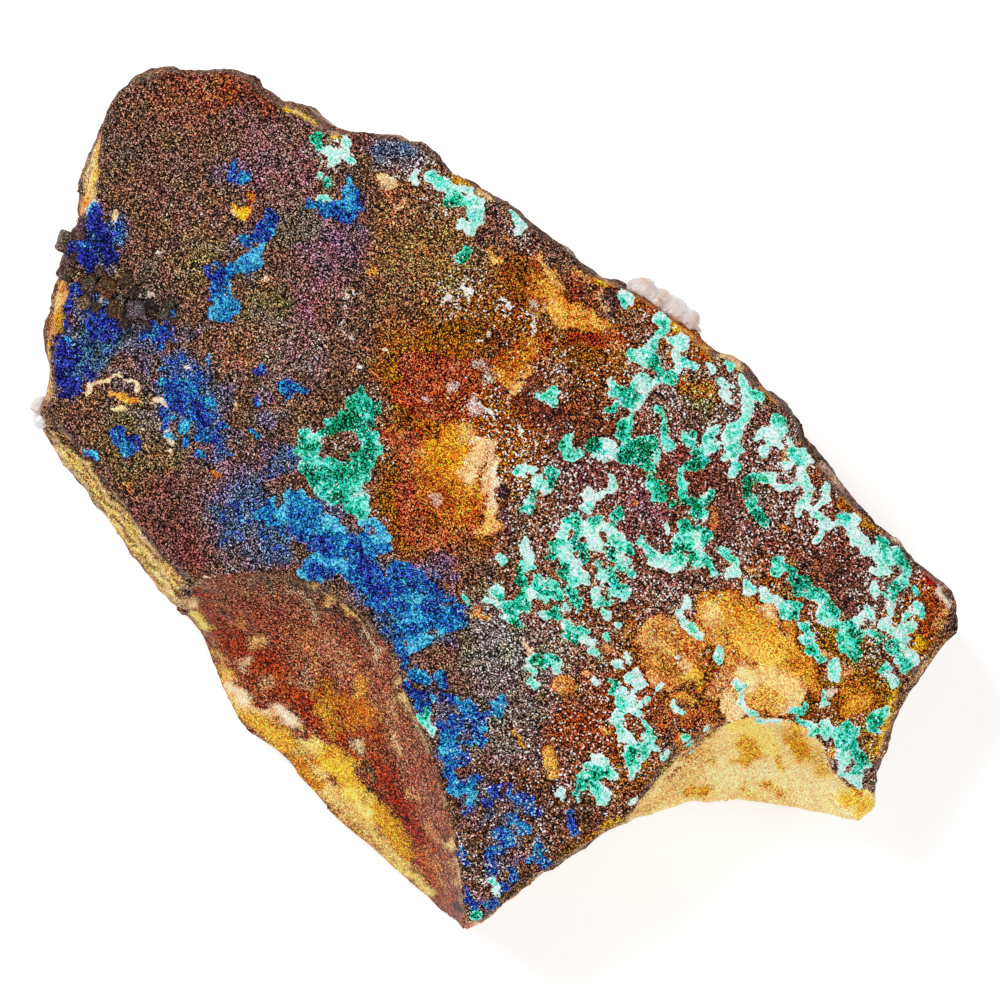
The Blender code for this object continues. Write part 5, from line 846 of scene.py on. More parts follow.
jasper = {  # the smooth broken face of jasper: colour, then a line or a spot
    "top": [
        ("#74463a", [(21, 59.6, 1.6), (25, 59.4, 1.8), (29.6, 60.6, 1.8)]),
        # 5c4e46 and #483832 along the ridge are painted shade over the jasper's own colour
        ("#5c4e46", [(25.4, 58.2, 0.7), (28.8, 57.9, 0.9), (31, 58.4, 0.5)]),
        ("#483832", [(30.2, 58.8, 0.6), (33, 60.4, 0.7), (35, 62.2, 0.6), (36.8, 63.8, 0.5)]),
        ("#7c2c16", [(19.6, 59.6, 1), (20.8, 61.6, 1.2), (22.6, 63.8, 1.3)]),
        ("#7a3c34", [(24.4, 61.6, 1.4), (27.6, 62.4, 1.6)]),
        ("#8a4c3c", [(29, 63.4, 1.2), (30.4, 66, 1.2)]),
    ],
    "rust": [
        ("#8a3414", [(23.6, 65, 1.5), (25.6, 66.8, 1.8), (28.4, 69, 1.7)]),
        ("#9a3a10", [(27, 68, 1.2), (29.6, 69.4, 1.2)]), ("#7c260e", [(23, 64.2, 0.7),
        (26.4, 65.4, 0.8), (26.8, 66.4, 0.7)]), ("#8a2c10", [(30.8, 70.4, 1.2), (32.4, 72.6, 1)]),
        ("#96380f", [(33.6, 73.6, 1.2), (36.2, 75.2, 1.3), (37.8, 73.6, 1)]),
        ("#9c3818", [(37, 76, 0.8), (37.6, 77.4, 0.7)]), ("#8a2a14", [(38.4, 77.4, 1.2),
        (40.2, 80.4, 1.3), (41.8, 83.4, 1.1)]), ("#983a1c", [(42.4, 85.6, 0.9), (43.4, 88, 0.9),
        (44.8, 90.4, 0.7)]), ("#74200c", [(38.2, 78.2, 0.5), (39.6, 80.4, 0.6), (41.4, 84, 0.6)]),
    ],
    "rose": [
        ("#a05a48", [(31.6, 64.2, 1.3), (34, 65.8, 1.6), (35.4, 67.6, 1.2)]),
        ("#a8665a", [(33, 64.6, 0.7), (34.4, 66.4, 0.7)]), ("#8e5044", [(37.2, 66.2, 1.3),
        (38.6, 69.6, 1.4), (39.8, 73.4, 1.4)]), ("#905048", [(40.8, 76, 1.4), (42.2, 79.2, 1.4),
        (43.6, 82.4, 1.2)]), ("#8a4a46", [(44.4, 84.6, 1), (44.9, 87.4, 0.8), (45.4, 89.6, 0.6)]),
        ("#b88870", [(38.8, 70.4, 0.4), (39.3, 71.6, 0.3)]),
        ("#c89c88", [(39.4, 74.2, 0.3), (40, 75.4, 0.2)]), ("#6c4038", [(39.8, 67.6, 0.7),
        (41.4, 72, 0.6), (43.2, 76.6, 0.5)]),
    ],
    "orange": [
        ("#a84c14", [(31.8, 68.8, 0.9), (33.2, 70, 1), (34.2, 71.4, 1)]),
        ("#c05c1a", [(34.4, 70, 0.8), (35.6, 71, 1)]), ("#dc6c18", [(35.4, 72.2, 0.6),
        (36.4, 71.6, 0.8), (37, 72.4, 0.6)]), ("#cc7428", [(37.2, 70.6, 0.5), (37.4, 71.8, 0.4)]),
        ("#c8883c", [(36.2, 67.3, 0.3), (36.1, 68.6, 0.5), (35.6, 69.8, 0.4)]),
        ("#cc9030", [(31.7, 70.6, 0.3), (32.6, 72, 0.4), (33.3, 73, 0.3)]),
        ("#c07820", [(33, 69.8, 0.4), (33.9, 70.4, 0.4)]),
    ],
    "foot": [
        ("#c88a48", [(21.4, 65.2, 0.5), (22.4, 67.8, 0.6)]),
        ("#dcae62", [(22.4, 68, 0.7), (23.6, 70.4, 0.9)]), ("#dc9c3c", [(24.6, 71.6, 0.9),
        (27.2, 73.4, 1.1), (29.4, 75.4, 1)]), ("#cc7c2c", [(29.6, 76.2, 0.8), (31.6, 78.6, 0.9)]),
        ("#e0a030", [(31.8, 75.6, 1.1), (33.8, 76.6, 1.2), (35.2, 78.6, 0.9)]),
        ("#ecb840", [(33, 76.8, 0.6), (34.2, 77, 0.6)]), ("#d8b078", [(33, 79.6, 0.9), (35.2, 82, 0.9),
        (37.6, 84.6, 0.8), (39.6, 86.8, 0.7)]), ("#eccc64", [(34.8, 79.2, 0.6), (36.4, 80.8, 0.9),
        (37, 82.2, 0.6)]), ("#f6e8b0", [(35.9, 80.4, 0.35), (37, 81.6, 0.35)]),
        ("#dc9024", [(37.6, 80.8, 0.7), (39.2, 83.4, 0.9), (40.4, 85.6, 0.7)]),
        ("#c07220", [(39.8, 82.8, 0.4), (41, 85.4, 0.4)]), ("#b87c44", [(32.6, 80.6, 0.4),
        (34.6, 82.6, 0.4), (38, 85.8, 0.3)]), ("#ecd488", [(40.4, 87, 0.5), (42.6, 89.4, 0.5)]),
        ("#b06838", [(30.9, 75, 0.35), (31.4, 76.4, 0.35)]),
        ("#a89860", [(29.9, 75.3, 0.4), (30.2, 75.6, 0.4)]),
        ("#e8d890", [(30.4, 74, 0.5), (31.4, 74.8, 0.5)]),
        ("#f0dc98", [(31.6, 76.8, 0.35), (32, 77.6, 0.3)]),
    ],
    "seams": [
        ("#ece0d4", [(22.8, 68.8, 0.25), (23.7, 69.6, 0.4), (24.5, 70.4, 0.3)]),
        ("#d8bca4", [(24.8, 70.9, 0.15), (26.6, 71.5, 0.2), (28, 71.4, 0.2)]),
        ("#f0e4dc", [(27.9, 71, 0.35), (28.5, 71.9, 0.3), (29.1, 72.4, 0.45)]),
        ("#e0d888", [(19.3, 61.4, 0.25), (20.3, 62.7, 0.35)]),
        ("#dcc8a0", [(17.8, 59, 0.2), (19.4, 60.6, 0.25)]),
        ("#c89870", [(25.2, 64.4, 0.25), (26, 64.2, 0.35)]),
        ("#c07040", [(23.9, 62.2, 0.25), (24, 62.8, 0.3)]), ("#c8b0a0", [(23.8, 66.6, 0.15),
        (24.8, 66.2, 0.25), (25.1, 65.9, 0.15)]), ("#a8b098", [(35.7, 74.6, 0.25), (35.9, 74.9, 0.25)]),
        ("#3c3a28", [(36.2, 76, 0.2), (37.4, 78, 0.25)]), ("#b8704c", [(30.1, 63.2, 0.15),
        (31.2, 65.4, 0.2), (31.8, 67.4, 0.15)]), ("#a8a098", [(36.7, 63.2, 0.1), (37.4, 64.6, 0.12),
        (37.8, 66, 0.1)]), ("#94847a", [(28.8, 59.1, 0.1), (30.2, 59.3, 0.12), (31.3, 60.4, 0.1),
        (31.5, 62.2, 0.1)]), ("#c89070", [(41, 79.2, 0.15), (41.9, 80.4, 0.2)]),
        ("#c07c5c", [(42.9, 82.8, 0.25), (43.8, 84, 0.2)]),
        ("#b8603a", [(42.4, 85.2, 0.15), (43.4, 87, 0.2)]),
        ("#b06a40", [(43.2, 86.6, 0.15), (44.4, 88.8, 0.2)]),
        ("#1c1412", [(45.4, 90.5, 0.2), (46.2, 91.2, 0.25)]),
        ("#8a7464", [(28.9, 68.2, 0.2), (30.1, 68.5, 0.25)]),
        ("#887262", [(30.6, 67.3, 0.2), (31, 68.8, 0.2)]),
        ("#a89484", [(26.5, 68.6, 0.2), (26.9, 68, 0.2)]),
        ("#3a2a1c", [(36.6, 78.6, 0.15), (38, 79.8, 0.2)]),
    ],
    "lip": [
        ("#d8b078", [(31.4, 58.4, 0.12), (32.6, 59, 0.2), (33.6, 59.7, 0.25), (35, 60.9, 0.22)]),
        ("#b09878", [(35.2, 61, 0.14), (37, 62.3, 0.16), (38.2, 63.2, 0.14), (39.2, 64.6, 0.12),
        (39.9, 66.2, 0.12)]), ("#a08c74", [(40.6, 69.4, 0.2), (41.6, 72, 0.14), (43, 75, 0.16),
        (44.2, 77.2, 0.14), (44.9, 80, 0.14)]), ("#b8a080", [(45.3, 82, 0.14), (45.6, 84.6, 0.16),
        (46, 88, 0.14), (46.6, 90.4, 0.12)]), ("#e0c498", [(44.6, 84.9, 0.2), (45.3, 84.3, 0.4)]),
        ("#d8b0a0", [(44.7, 80, 0.15), (44.9, 80.5, 0.2)]),
        ("#d8c498", [(40.3, 68, 0.3), (41, 67.2, 0.45)]),
        ("#c8b48c", [(40.4, 69.6, 0.3), (40.6, 70.2, 0.35)]), ("#f0ece4", [(20, 57.8, 0.15),
        (21.2, 57.2, 0.2), (22, 56.6, 0.12), (22.6, 56, 0.1)]),
    ],
}
bite = {  # the pale hollow broken from the south-eastern side
    "floor": [
        # d4ac74 darkens the bite's western end: pale ochre with painted shade
        ("#d4ac74", [(65.6, 79.8, 0.9), (68.4, 77.8, 1.3), (70.8, 75.8, 1.1)]),
        ("#e8d4a0", [(71.6, 76.8, 1.3), (74.6, 78.2, 1.3), (78, 77.6, 1.4), (81, 78.8, 1.6),
        (84.4, 80.6, 1.3)]), ("#ecd07c", [(73.8, 72.6, 0.8), (76.2, 73.4, 0.9), (77.4, 75, 0.8)]),
        ("#d89a3c", [(74.6, 74.2, 0.9), (75.6, 75.4, 0.9), (74.2, 76.2, 0.7)]),
        ("#e09424", [(79.2, 73.4, 0.9), (80.2, 75.2, 1)]),
        ("#d8841c", [(79.6, 74.6, 0.6), (80.8, 75.6, 0.5)]),
        ("#d8a044", [(78, 76, 0.5), (78.3, 76.8, 0.5)]),
        ("#dca44c", [(81.6, 75.6, 0.6), (82.4, 77, 0.7)]),
        ("#d8983c", [(68.8, 79.1, 0.5), (70.6, 79.3, 0.6)]),
        ("#cc9450", [(70.9, 75.9, 0.3), (71.3, 76.5, 0.3)]),
        ("#d4a050", [(76.6, 78.4, 0.5), (78.2, 79.4, 0.5)]),
        ("#cc9848", [(74.2, 78.9, 0.3), (75.4, 79.7, 0.3)]),
        ("#e4bc54", [(84.4, 79.8, 0.8), (86.6, 80.6, 0.9)]),
        ("#d89c3c", [(85.8, 78.8, 0.7), (87.2, 77.4, 0.6)]), ("#e8c46c", [(72.2, 69.4, 0.7),
        (72.6, 71.2, 1), (74.2, 71.8, 0.7)]), ("#f2dc90", [(72.3, 70.4, 0.5), (73, 71.4, 0.6)]),
        ("#c4925a", [(66.6, 76.9, 0.5), (70, 74.9, 0.4), (71.4, 73.3, 0.3)]),
    ],
    "lip": [
        # 8a5024 is a painted shadow under the bite's lip
        ("#8a5024", [(66.2, 77.8, 0.3), (67, 77.2, 0.35), (67.8, 77, 0.2)]),
        ("#f0e0a8", [(65, 79.6, 0.2), (65.4, 78.6, 0.25), (66, 77.6, 0.25), (66.8, 76.7, 0.2),
        (67.8, 76.3, 0.15)]), ("#c8985c", [(63.9, 77.8, 0.2), (64.8, 79, 0.25)]),
        ("#c8965c", [(61.6, 81.8, 0.3), (63.2, 81.2, 0.35), (65, 80.6, 0.3)]),
    ],
}
swellings = [  # rounded swellings and hollows of the upper side: x, y, radius, height in mm
    (71.3, 61.2, 1.6, 0.45), (75, 61.8, 1.9, 0.4), (77.6, 65, 2.4, 0.45), (74.6, 67.8, 1.9, 0.4),
    (77.6, 69.8, 1.9, 0.4), (80.4, 67.8, 1.6, 0.4), (78.9, 62.6, 0.8, 0.4), (69.4, 67.3, 0.9, 0.5),
    (67.2, 64.8, 0.6, 0.4), (64.6, 63.3, 0.9, 0.4), (68.2, 69.6, 0.9, 0.4), (65.5, 66.2, 0.9, 0.35),
    (71.8, 65.4, 0.8, 0.3), (85.2, 69.8, 1.5, 0.35), (83.1, 75.2, 0.8, 0.35), (56.4, 68.5, 1.3, 0.45),
    (55, 75.8, 1.1, 0.35), (24.2, 21.2, 0.7, 0.3), (38.7, 18, 1, 0.35), (44.7, 30.1, 0.5, 0.3),
    (45.4, 47.6, 3.2, -0.6), (46.6, 50.8, 2.2, -0.4), (55.4, 30, 1.6, -0.3), (66.3, 35.6, 0.9, -0.3),
    (34.2, 44.6, 1.2, 0.5), (33.4, 49.4, 1.6, 0.35), (36, 41, 1.4, 0.3), (30.8, 45.4, 1.2, 0.3),
    (36.6, 46, 1.2, 0.3), (57, 44.8, 1, 0.3), (9.6, 24, 2.6, 0.4), (12.6, 33.6, 0.8, -0.5),
    (13, 31.6, 0.6, -0.5), (15.2, 30.6, 0.6, -0.4), (61, 30.4, 1, 0.4), (56.6, 56.2, 1.8, 0.3),
    (62.4, 39.8, 1.3, 0.25), (84.8, 75, 1.8, 0.3), (63.2, 74.6, 1.2, 0.25), (60.6, 53.4, 0.5, -0.3),
]
toneShift = {"rosette": -0.14, "stem": 0.08}  # how much darker or paler these malachite growths are
filmWidth = 0.62  # how thin the white films are against their brush lines
for region, strokes in malachite.items():
    for name, shift in toneShift.items():
        if region.startswith(name):
            malachite[region] = [(min(1.0, max(0.05, tone + shift)), line) for tone, line in strokes]
limonite["white"] = [(colour, [(x, y, filmWidth * wide) for x, y, wide in line])
                     for colour, line in limonite["white"]]
print("strokes read")


def lineCover(places, line, soft, swell=0.0):
    # which places lie within a brush line, and how far each lies in it, from 0 to 1
    edge = max(w for _, _, w in line) + soft + swell
    xs, ys = [x for x, _, _ in line], [y for _, y, _ in line]
    near = np.flatnonzero(
        (places[:, 0] > min(xs) - edge) & (places[:, 0] < max(xs) + edge)
        & (places[:, 1] > min(ys) - edge) & (places[:, 1] < max(ys) + edge))
    value = np.zeros(len(near))
    for (x0, y0, w0), (x1, y1, w1) in zip(line, line[1:]):
        run = np.array((x1 - x0, y1 - y0))
        offset = places[near] - (x0, y0)
        along = np.clip(offset @ run / max(run @ run, 1e-6), 0, 1)
        away = np.linalg.norm(offset - along[:, None] * run, axis=1)
        value = np.maximum(value, np.clip(0.5 + (w0 + swell + (w1 - w0) * along - away) / soft, 0, 1))
    return near, value


def strokeCover(places, strokes, soft, swell=0.0):
    # how far each place lies within the lines, from 0 to 1, and the tone of the line it lies in
    cover, tone = np.zeros(len(places)), np.zeros(len(places))
    for shade, line in (stroke for region in strokes.values() for stroke in region):
        near, value = lineCover(places, line, soft, swell)
        better = near[value > cover[near]]
        cover[near] = np.maximum(cover[near], value)
        tone[better] = shade
    return cover, tone


def lay(colours, share, places, strokes, soft):
    # lays coloured lines over colours, and raises share to how much of each place they cover
    for colour, line in (stroke for region in strokes.values() for stroke in region):
        near, value = lineCover(places, line, soft)
        taken = np.where(share[near] > 0.02, value, value > 0)
        colours[near] += (np.array(hexColour(colour)[:3]) - colours[near]) * taken[:, None]
        share[near] = np.maximum(share[near], value)


def patchCover(places, patches):
    cover = np.zeros(len(places))
    for x, y, radius, share in patches:
        away = np.hypot(places[:, 0] - x, places[:, 1] - y) / radius
        cover = np.maximum(cover, share * np.clip(1.6 - 1.3 * away, 0, 1))
    return cover


def noiseAt(places, scale, seed):  # smooth noise from about -1 to 1 at each row of places
    flat = np.zeros((len(places), 3))
    flat[:, :places.shape[1]] = places * scale
    flat[:, 2] += seed
    return np.array([noise.noise(row) for row in flat.tolist()]) * 1.6


def wanderAt(places, scale, first, second):  # a sideways shift for each place, from two noises
    return np.stack((noiseAt(places, scale, first), noiseAt(places, scale, second)), axis=1)


def smoothStep(value, low, high):
    t = np.clip((value - low) / (high - low), 0, 1)
    return t * t * (3 - 2 * t)


def insideOf(places, outline):  # which places a closed outline holds
    inside = np.zeros(len(places), bool)
    for (x0, y0), (x1, y1) in zip(outline, outline[1:] + outline[:1]):
        if y0 == y1:
            continue
        crossing = (places[:, 1] > min(y0, y1)) & (places[:, 1] <= max(y0, y1))
        at = x0 + (places[:, 1] - y0) * (x1 - x0) / (y1 - y0)
        inside ^= crossing & (places[:, 0] < at)
    return inside


# ---- the slab's surface

slab = {
    "net": 0.6,  # size of the even net over the slab, mm; on the upper side it is half of this
    "growth": 0.25,  # how far azurite and malachite stand over the druse, mm
    "upperSide": 12,  # height over which a face may belong to the upper side, mm
    "lumps": 0.16, "grains": 0.11, "ledges": 0.3,  # relief of the druse and of the broken sides, mm
}
jasperOutline = [
    (20.2, 57.6), (24, 57.3), (28.4, 57.4), (31.6, 58.5), (35, 60.8), (37.6, 63.6), (39.6, 66.2),
    (40.5, 69.2), (41.6, 72), (43, 75), (44.2, 78.6), (45.2, 82.6), (45.9, 86.6), (46.6, 92), (46, 95),
    (40, 92), (30, 82), (18, 72), (17, 64),
]
biteOutline = [
    (63, 81.4), (64.4, 79.6), (66.2, 77.6), (68.6, 75.6), (70.6, 74), (72.4, 72.4), (75, 71.6),
    (78, 71.8), (80.4, 72.6), (82.2, 74.4), (83, 76.6), (84.6, 78.6), (87, 79.2), (90, 80), (90, 86),
    (62, 86),
]


def meshFromNodes(names):  # a new mesh made of copies of CAD nodes, with doubles merged
    bm = bmesh.new()
    for name in names:
        bm.from_mesh(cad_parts[name].data)
    bmesh.ops.remove_doubles(bm, verts=bm.verts, dist=1e-6)
    mesh = bpy.data.meshes.new("copy")
    bm.to_mesh(mesh)
    bm.free()
    return mesh


def nodesOf(mineral):  # the CAD nodes named after a mineral
    return [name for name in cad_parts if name.startswith(mineral)]


def objectOf(name, mesh):
    made = bpy.data.objects.new(name, mesh)
    bpy.context.scene.collection.objects.link(made)
    return made


def applied(obj):  # the object's evaluated mesh, with its modifiers taken off
    mesh = bpy.data.meshes.new_from_object(obj.evaluated_get(bpy.context.evaluated_depsgraph_get()))
    obj.modifiers.clear()
    obj.data = mesh
    return obj


def remeshed(name, mesh, voxel):
    made = objectOf(name, mesh)
    modifier = made.modifiers.new("evenNet", "REMESH")
    modifier.mode = "VOXEL"
    modifier.voxel_size = voxel * mm
    modifier.adaptivity = 0.0
    return applied(made)


def coordinates(mesh):
    points = np.empty(len(mesh.vertices) * 3, np.float32)
    mesh.vertices.foreach_get("co", points)
    return points.reshape(-1, 3).astype(float)


def normalsOf(mesh):
    normals = np.empty(len(mesh.vertices) * 3, np.float32)
    mesh.vertices.foreach_get("normal", normals)
    return normals.reshape(-1, 3).astype(float)


def setCoordinates(mesh, points):
    mesh.vertices.foreach_set("co", points.astype(np.float32).ravel())
    mesh.update()


def storeColours(mesh, name, values):
    layer = mesh.attributes.new(name, "FLOAT_COLOR", "POINT")
    layer.data.foreach_set("color", values.astype(np.float32).ravel())


def refineTop(obj):
    bm = bmesh.new()
    bm.from_mesh(obj.data)
    edges = {edge for face in bm.faces
             if face.normal.z > 0.55 and face.calc_center_median().z > slab["upperSide"] * mm
             for edge in face.edges}
    bmesh.ops.subdivide_edges(bm, edges=list(edges), cuts=1, use_grid_fill=True)
    bmesh.ops.triangulate(bm, faces=[face for face in bm.faces if len(face.verts) > 4])
    bm.to_mesh(obj.data)
    bm.free()


def depthBelowRim(points, normals):
    # how far each point lies under the edge of the upper side nearest to it, in mm
    top = np.flatnonzero((normals[:, 2] > 0.75) & (points[:, 2] > slab["upperSide"] * mm))[::3]
    tree = kdtree.KDTree(len(top))
    for i, (x, y, _) in zip(top.tolist(), points[top].tolist()):
        tree.insert((x, y, 0), i)
    tree.balance()
    depth = np.zeros(len(points))
    for i in np.flatnonzero(normals[:, 2] <= 0.75).tolist():
        nearest = tree.find((points[i, 0], points[i, 1], 0))[1]
        depth[i] = (points[nearest, 2] - points[i, 2]) / mm
    return np.maximum(depth, 0)


def roughenSlab(obj):
    points, normals = coordinates(obj.data), normalsOf(obj.data)
    places = sheetPlaces(points)
    inMm = points / mm
    jasper, bite = insideOf(places, jasperOutline), insideOf(places, biteOutline)
    top = smoothStep(normals[:, 2], 0.3, 0.8) * ~jasper * ~bite
    lumps = noiseAt(inMm, 0.55, 1.0)
    grains = noiseAt(inMm, 1.9, 5.0)
    flow = inMm * (0.25, 0.25, 1.6)  # layers that run round the slab
    ledges = noiseAt(flow, 0.7, 9.0) + 0.6 * noiseAt(flow, 1.6, 3.0)
    crusts = np.maximum(strokeCover(places, azurite, 0.8)[0], strokeCover(places, malachite, 0.8)[0])
    push = top * (slab["lumps"] * lumps + slab["grains"] * grains + slab["growth"] * crusts)
    side = (1 - top) * np.where(jasper, 0.25, 1.0) * np.where(bite, 0.4, 1.0)
    push += side * (slab["ledges"] * ledges + slab["lumps"] * lumps + 0.07 * grains)
    facing = smoothStep(normals[:, 2], 0.2, 0.6)
    for x, y, radius, height in swellings:
        away = np.hypot(places[:, 0] - x, places[:, 1] - y) / radius
        push += facing * height * (1 - smoothStep(away, 0.35, 1.15))
    # the underside stays flat where it rests
    push *= smoothStep(inMm[:, 2], 0.2, 1.6)
    setCoordinates(obj.data, points + normals * push[:, None] * mm)


print("making the slab")
matrixBody = remeshed("matrixBody", meshFromNodes(["limonite_slab"]), slab["net"])
refineTop(matrixBody)
roughenSlab(matrixBody)
print("slab has", len(matrixBody.data.polygons), "faces")

# ---- colours and shares painted on a surface

tintPatches = [  # broad colours of the druse: colour, x, y, radius, strength
    ("#4e2a28", 53, 40, 6, 0.8), ("#4a2c30", 60, 46, 6, 0.7), ("#503030", 70, 46, 5, 0.7),
    ("#5c3830", 66, 50, 8, 0.8), ("#5a3830", 80, 54, 8, 0.7), ("#5e3c30", 58, 58, 8, 0.8),
    ("#5c3828", 60, 40, 6, 0.7), ("#4c3428", 54, 82, 8, 0.9), ("#6c3422", 60, 72, 6, 0.9),
    ("#6e463c", 19, 8.6, 4, 0.9), ("#7a4034", 22.6, 8.6, 2.6, 0.8), ("#5a342c", 26, 9.6, 2.4, 0.8),
    ("#6a5058", 27.6, 16, 5, 0.6), ("#5e4a5c", 33, 24.6, 4, 0.6), ("#4a4e5c", 40, 14.6, 3, 0.7),
    ("#55503a", 20.6, 26.6, 4, 0.5), ("#494c42", 30, 22.6, 2.6, 0.6), ("#50523c", 26.6, 30.6, 3, 0.5),
    ("#7c5c44", 43, 26, 6, 0.7), ("#7a5646", 40, 20, 3, 0.7), ("#6c4a52", 31.6, 29.6, 3, 0.6),
    ("#6a5650", 26.6, 36.6, 5, 0.6), ("#7a564a", 23.8, 35, 2.2, 0.7), ("#6c5a60", 30, 35, 3.6, 0.5),
    ("#8e5234", 43, 37, 6, 0.9), ("#93502e", 46, 46, 8, 1), ("#8a4c2c", 40, 52, 4, 0.8),
    ("#7a4a38", 44, 57, 3.6, 0.6), ("#784428", 52, 30, 5, 0.8), ("#7c4626", 58, 33.6, 6, 0.8),
    ("#8a4a2a", 67.6, 34, 3, 0.7), ("#8a4420", 70, 35.4, 2, 0.8), ("#52423c", 61, 32, 2, 0.5),
    ("#5e4238", 56, 38, 3, 0.6), ("#645c3c", 70, 39.2, 2, 0.6), ("#56403c", 74, 52, 4, 0.5),
    ("#54404a", 63.6, 51.6, 3, 0.6), ("#5c4038", 78, 44.6, 4, 0.5), ("#503832", 84.6, 57.6, 4, 1),
    ("#6c3c2c", 82, 47, 2.4, 0.6), ("#8a4a30", 90.6, 63.6, 3.4, 0.9), ("#94543a", 93.4, 60.4, 2.6, 0.9),
    ("#8a4c2a", 76, 66, 9, 0.8), ("#7c4428", 64, 66, 5, 0.8), ("#6a564e", 58, 66, 5, 0.7),
    ("#6c4c40", 56, 60, 4, 0.5), ("#585a5c", 50, 65, 5, 0.7), ("#54504e", 51, 73, 4, 0.6),
    ("#683626", 62, 70, 4, 0.7), ("#784830", 64, 77, 4, 0.7), ("#4c3c34", 50, 84, 6, 0.6),
    ("#92562c", 86, 70, 4, 0.9), ("#8a5c38", 83, 64, 3, 0.7), ("#4c4c56", 24, 52, 5, 0.7),
    ("#484e58", 17, 40, 4, 0.6), ("#3c4450", 10, 35, 4, 0.9), ("#43423e", 13, 31, 4, 0.9),
    ("#3a4450", 10, 24, 3, 0.9), ("#58503c", 14, 44, 5, 0.5), ("#4e3634", 16, 51, 4, 0.6),
    ("#543436", 19, 55, 3, 0.7), ("#644c52", 22, 48, 4, 0.5), ("#5a6068", 36, 56, 4, 0.5),
    ("#7a4a2c", 46, 33, 4, 0.6), ("#4e463e", 10.6, 16, 2.4, 0.5),
]
sideBands = [  # down a broken side: depth in mm, colour
    (0, "#5c4a3e"), (1, "#5f4c40"), (1.8, "#b48a62"), (2.6, "#b07a4e"), (3.4, "#b89c7c"),
    (4.2, "#7c4e38"), (7, "#6a4234"), (9.5, "#7c4c38"), (11, "#a08470"), (12, "#8c6848"),
    (15, "#9a7850"), (18, "#84664a"), (30, "#70594a"),
]
topTint, jasperTint, biteTint = "#54423a", "#764034", "#e0c08a"
dustTint, northShadeTint = "#38506e", "#48332b"  # druse under a veil of azurite; painted shade on the sides facing north
rustDepth = (0.68, 0.36, 0.3)  # how limonite reddens where it thins out, red to blue
# how much each mineral's brush colours are deepened, red to blue
rindDepth, biteDepth = (1.1, 0.97, 0.92), (1.28, 0.93, 0.77)
limoniteDepth, jasperDepth = (1.4, 0.82, 0.85), (1.2, 0.78, 0.52)


def bandColours(depth):
    stops = np.array([at for at, _ in sideBands])
    colours = np.array([hexColour(colour)[:3] for _, colour in sideBands])
    return np.stack([np.interp(depth, stops, colours[:, k]) for k in range(3)], axis=1)


def drawTo(tint, target, share):  # draws each row of tint towards a hex colour, or towards a row of its own
    if isinstance(target, str):
        target = np.array(hexColour(target)[:3])
    tint += (target - tint) * share[:, None]


def paintPatches(tint, places, patches, where):
    for colour, x, y, radius, strength in patches:
        away = np.hypot(places[:, 0] - x, places[:, 1] - y) / radius
        drawTo(tint, colour, strength * np.clip(1.5 - 1.25 * away, 0, 1) * where)


def edgeLayers():  # the thin layers of the south-western edge, as brush lines
    (stepX, stepY), line = layeredEdge["outward"], layeredEdge["line"]
    return {"layers": [(colour, [(x + stepX * out, y + stepY * out, half) for x, y in line])
                       for out, half, colour in layeredEdge["layers"]]}


paint = {
    "wander": 0.42, "sharpWander": 0.16,  # how far the edge of a growth strays from its brush line, mm
    "softAzurite": 0.7, "swellAzurite": 0.08,  # how soft that edge is, and how far it is swollen, mm
    "softMalachite": 0.6, "swellMalachite": 0.15, "softLimonite": 0.6,
    "softJasper": 0.9, "softSeams": 0.25, "softBite": 0.6, "softLayers": 0.3, "softRind": 0.35,
    "halo": 2.4,  # width of the powder round malachite, mm
    "dustVeil": 0.9, "haloVeil": 0.25,  # how thick thin azurite lies on the druse and round malachite
    "powder": 0.42, "haloPowder": 0.24,  # how thick white and mint powder lies, in patches and round malachite
    "north": 0.85, "richer": 0.4,  # how dark the painted shade on the north-facing sides is; how much purer the upper side's colours are
    "biteReach": ((1.5, 0.25), (2.5, 0.4), (1.0, 0.9)),  # waves of the bite's ragged edge: mm, and waves per mm
}


def richness(colours):  # 1 where a colour is a pure orange, 0 where it is cream
    return smoothStep(1 - colours[:, 2] / np.maximum(colours[:, 0], 1e-6), 0.65, 0.95)


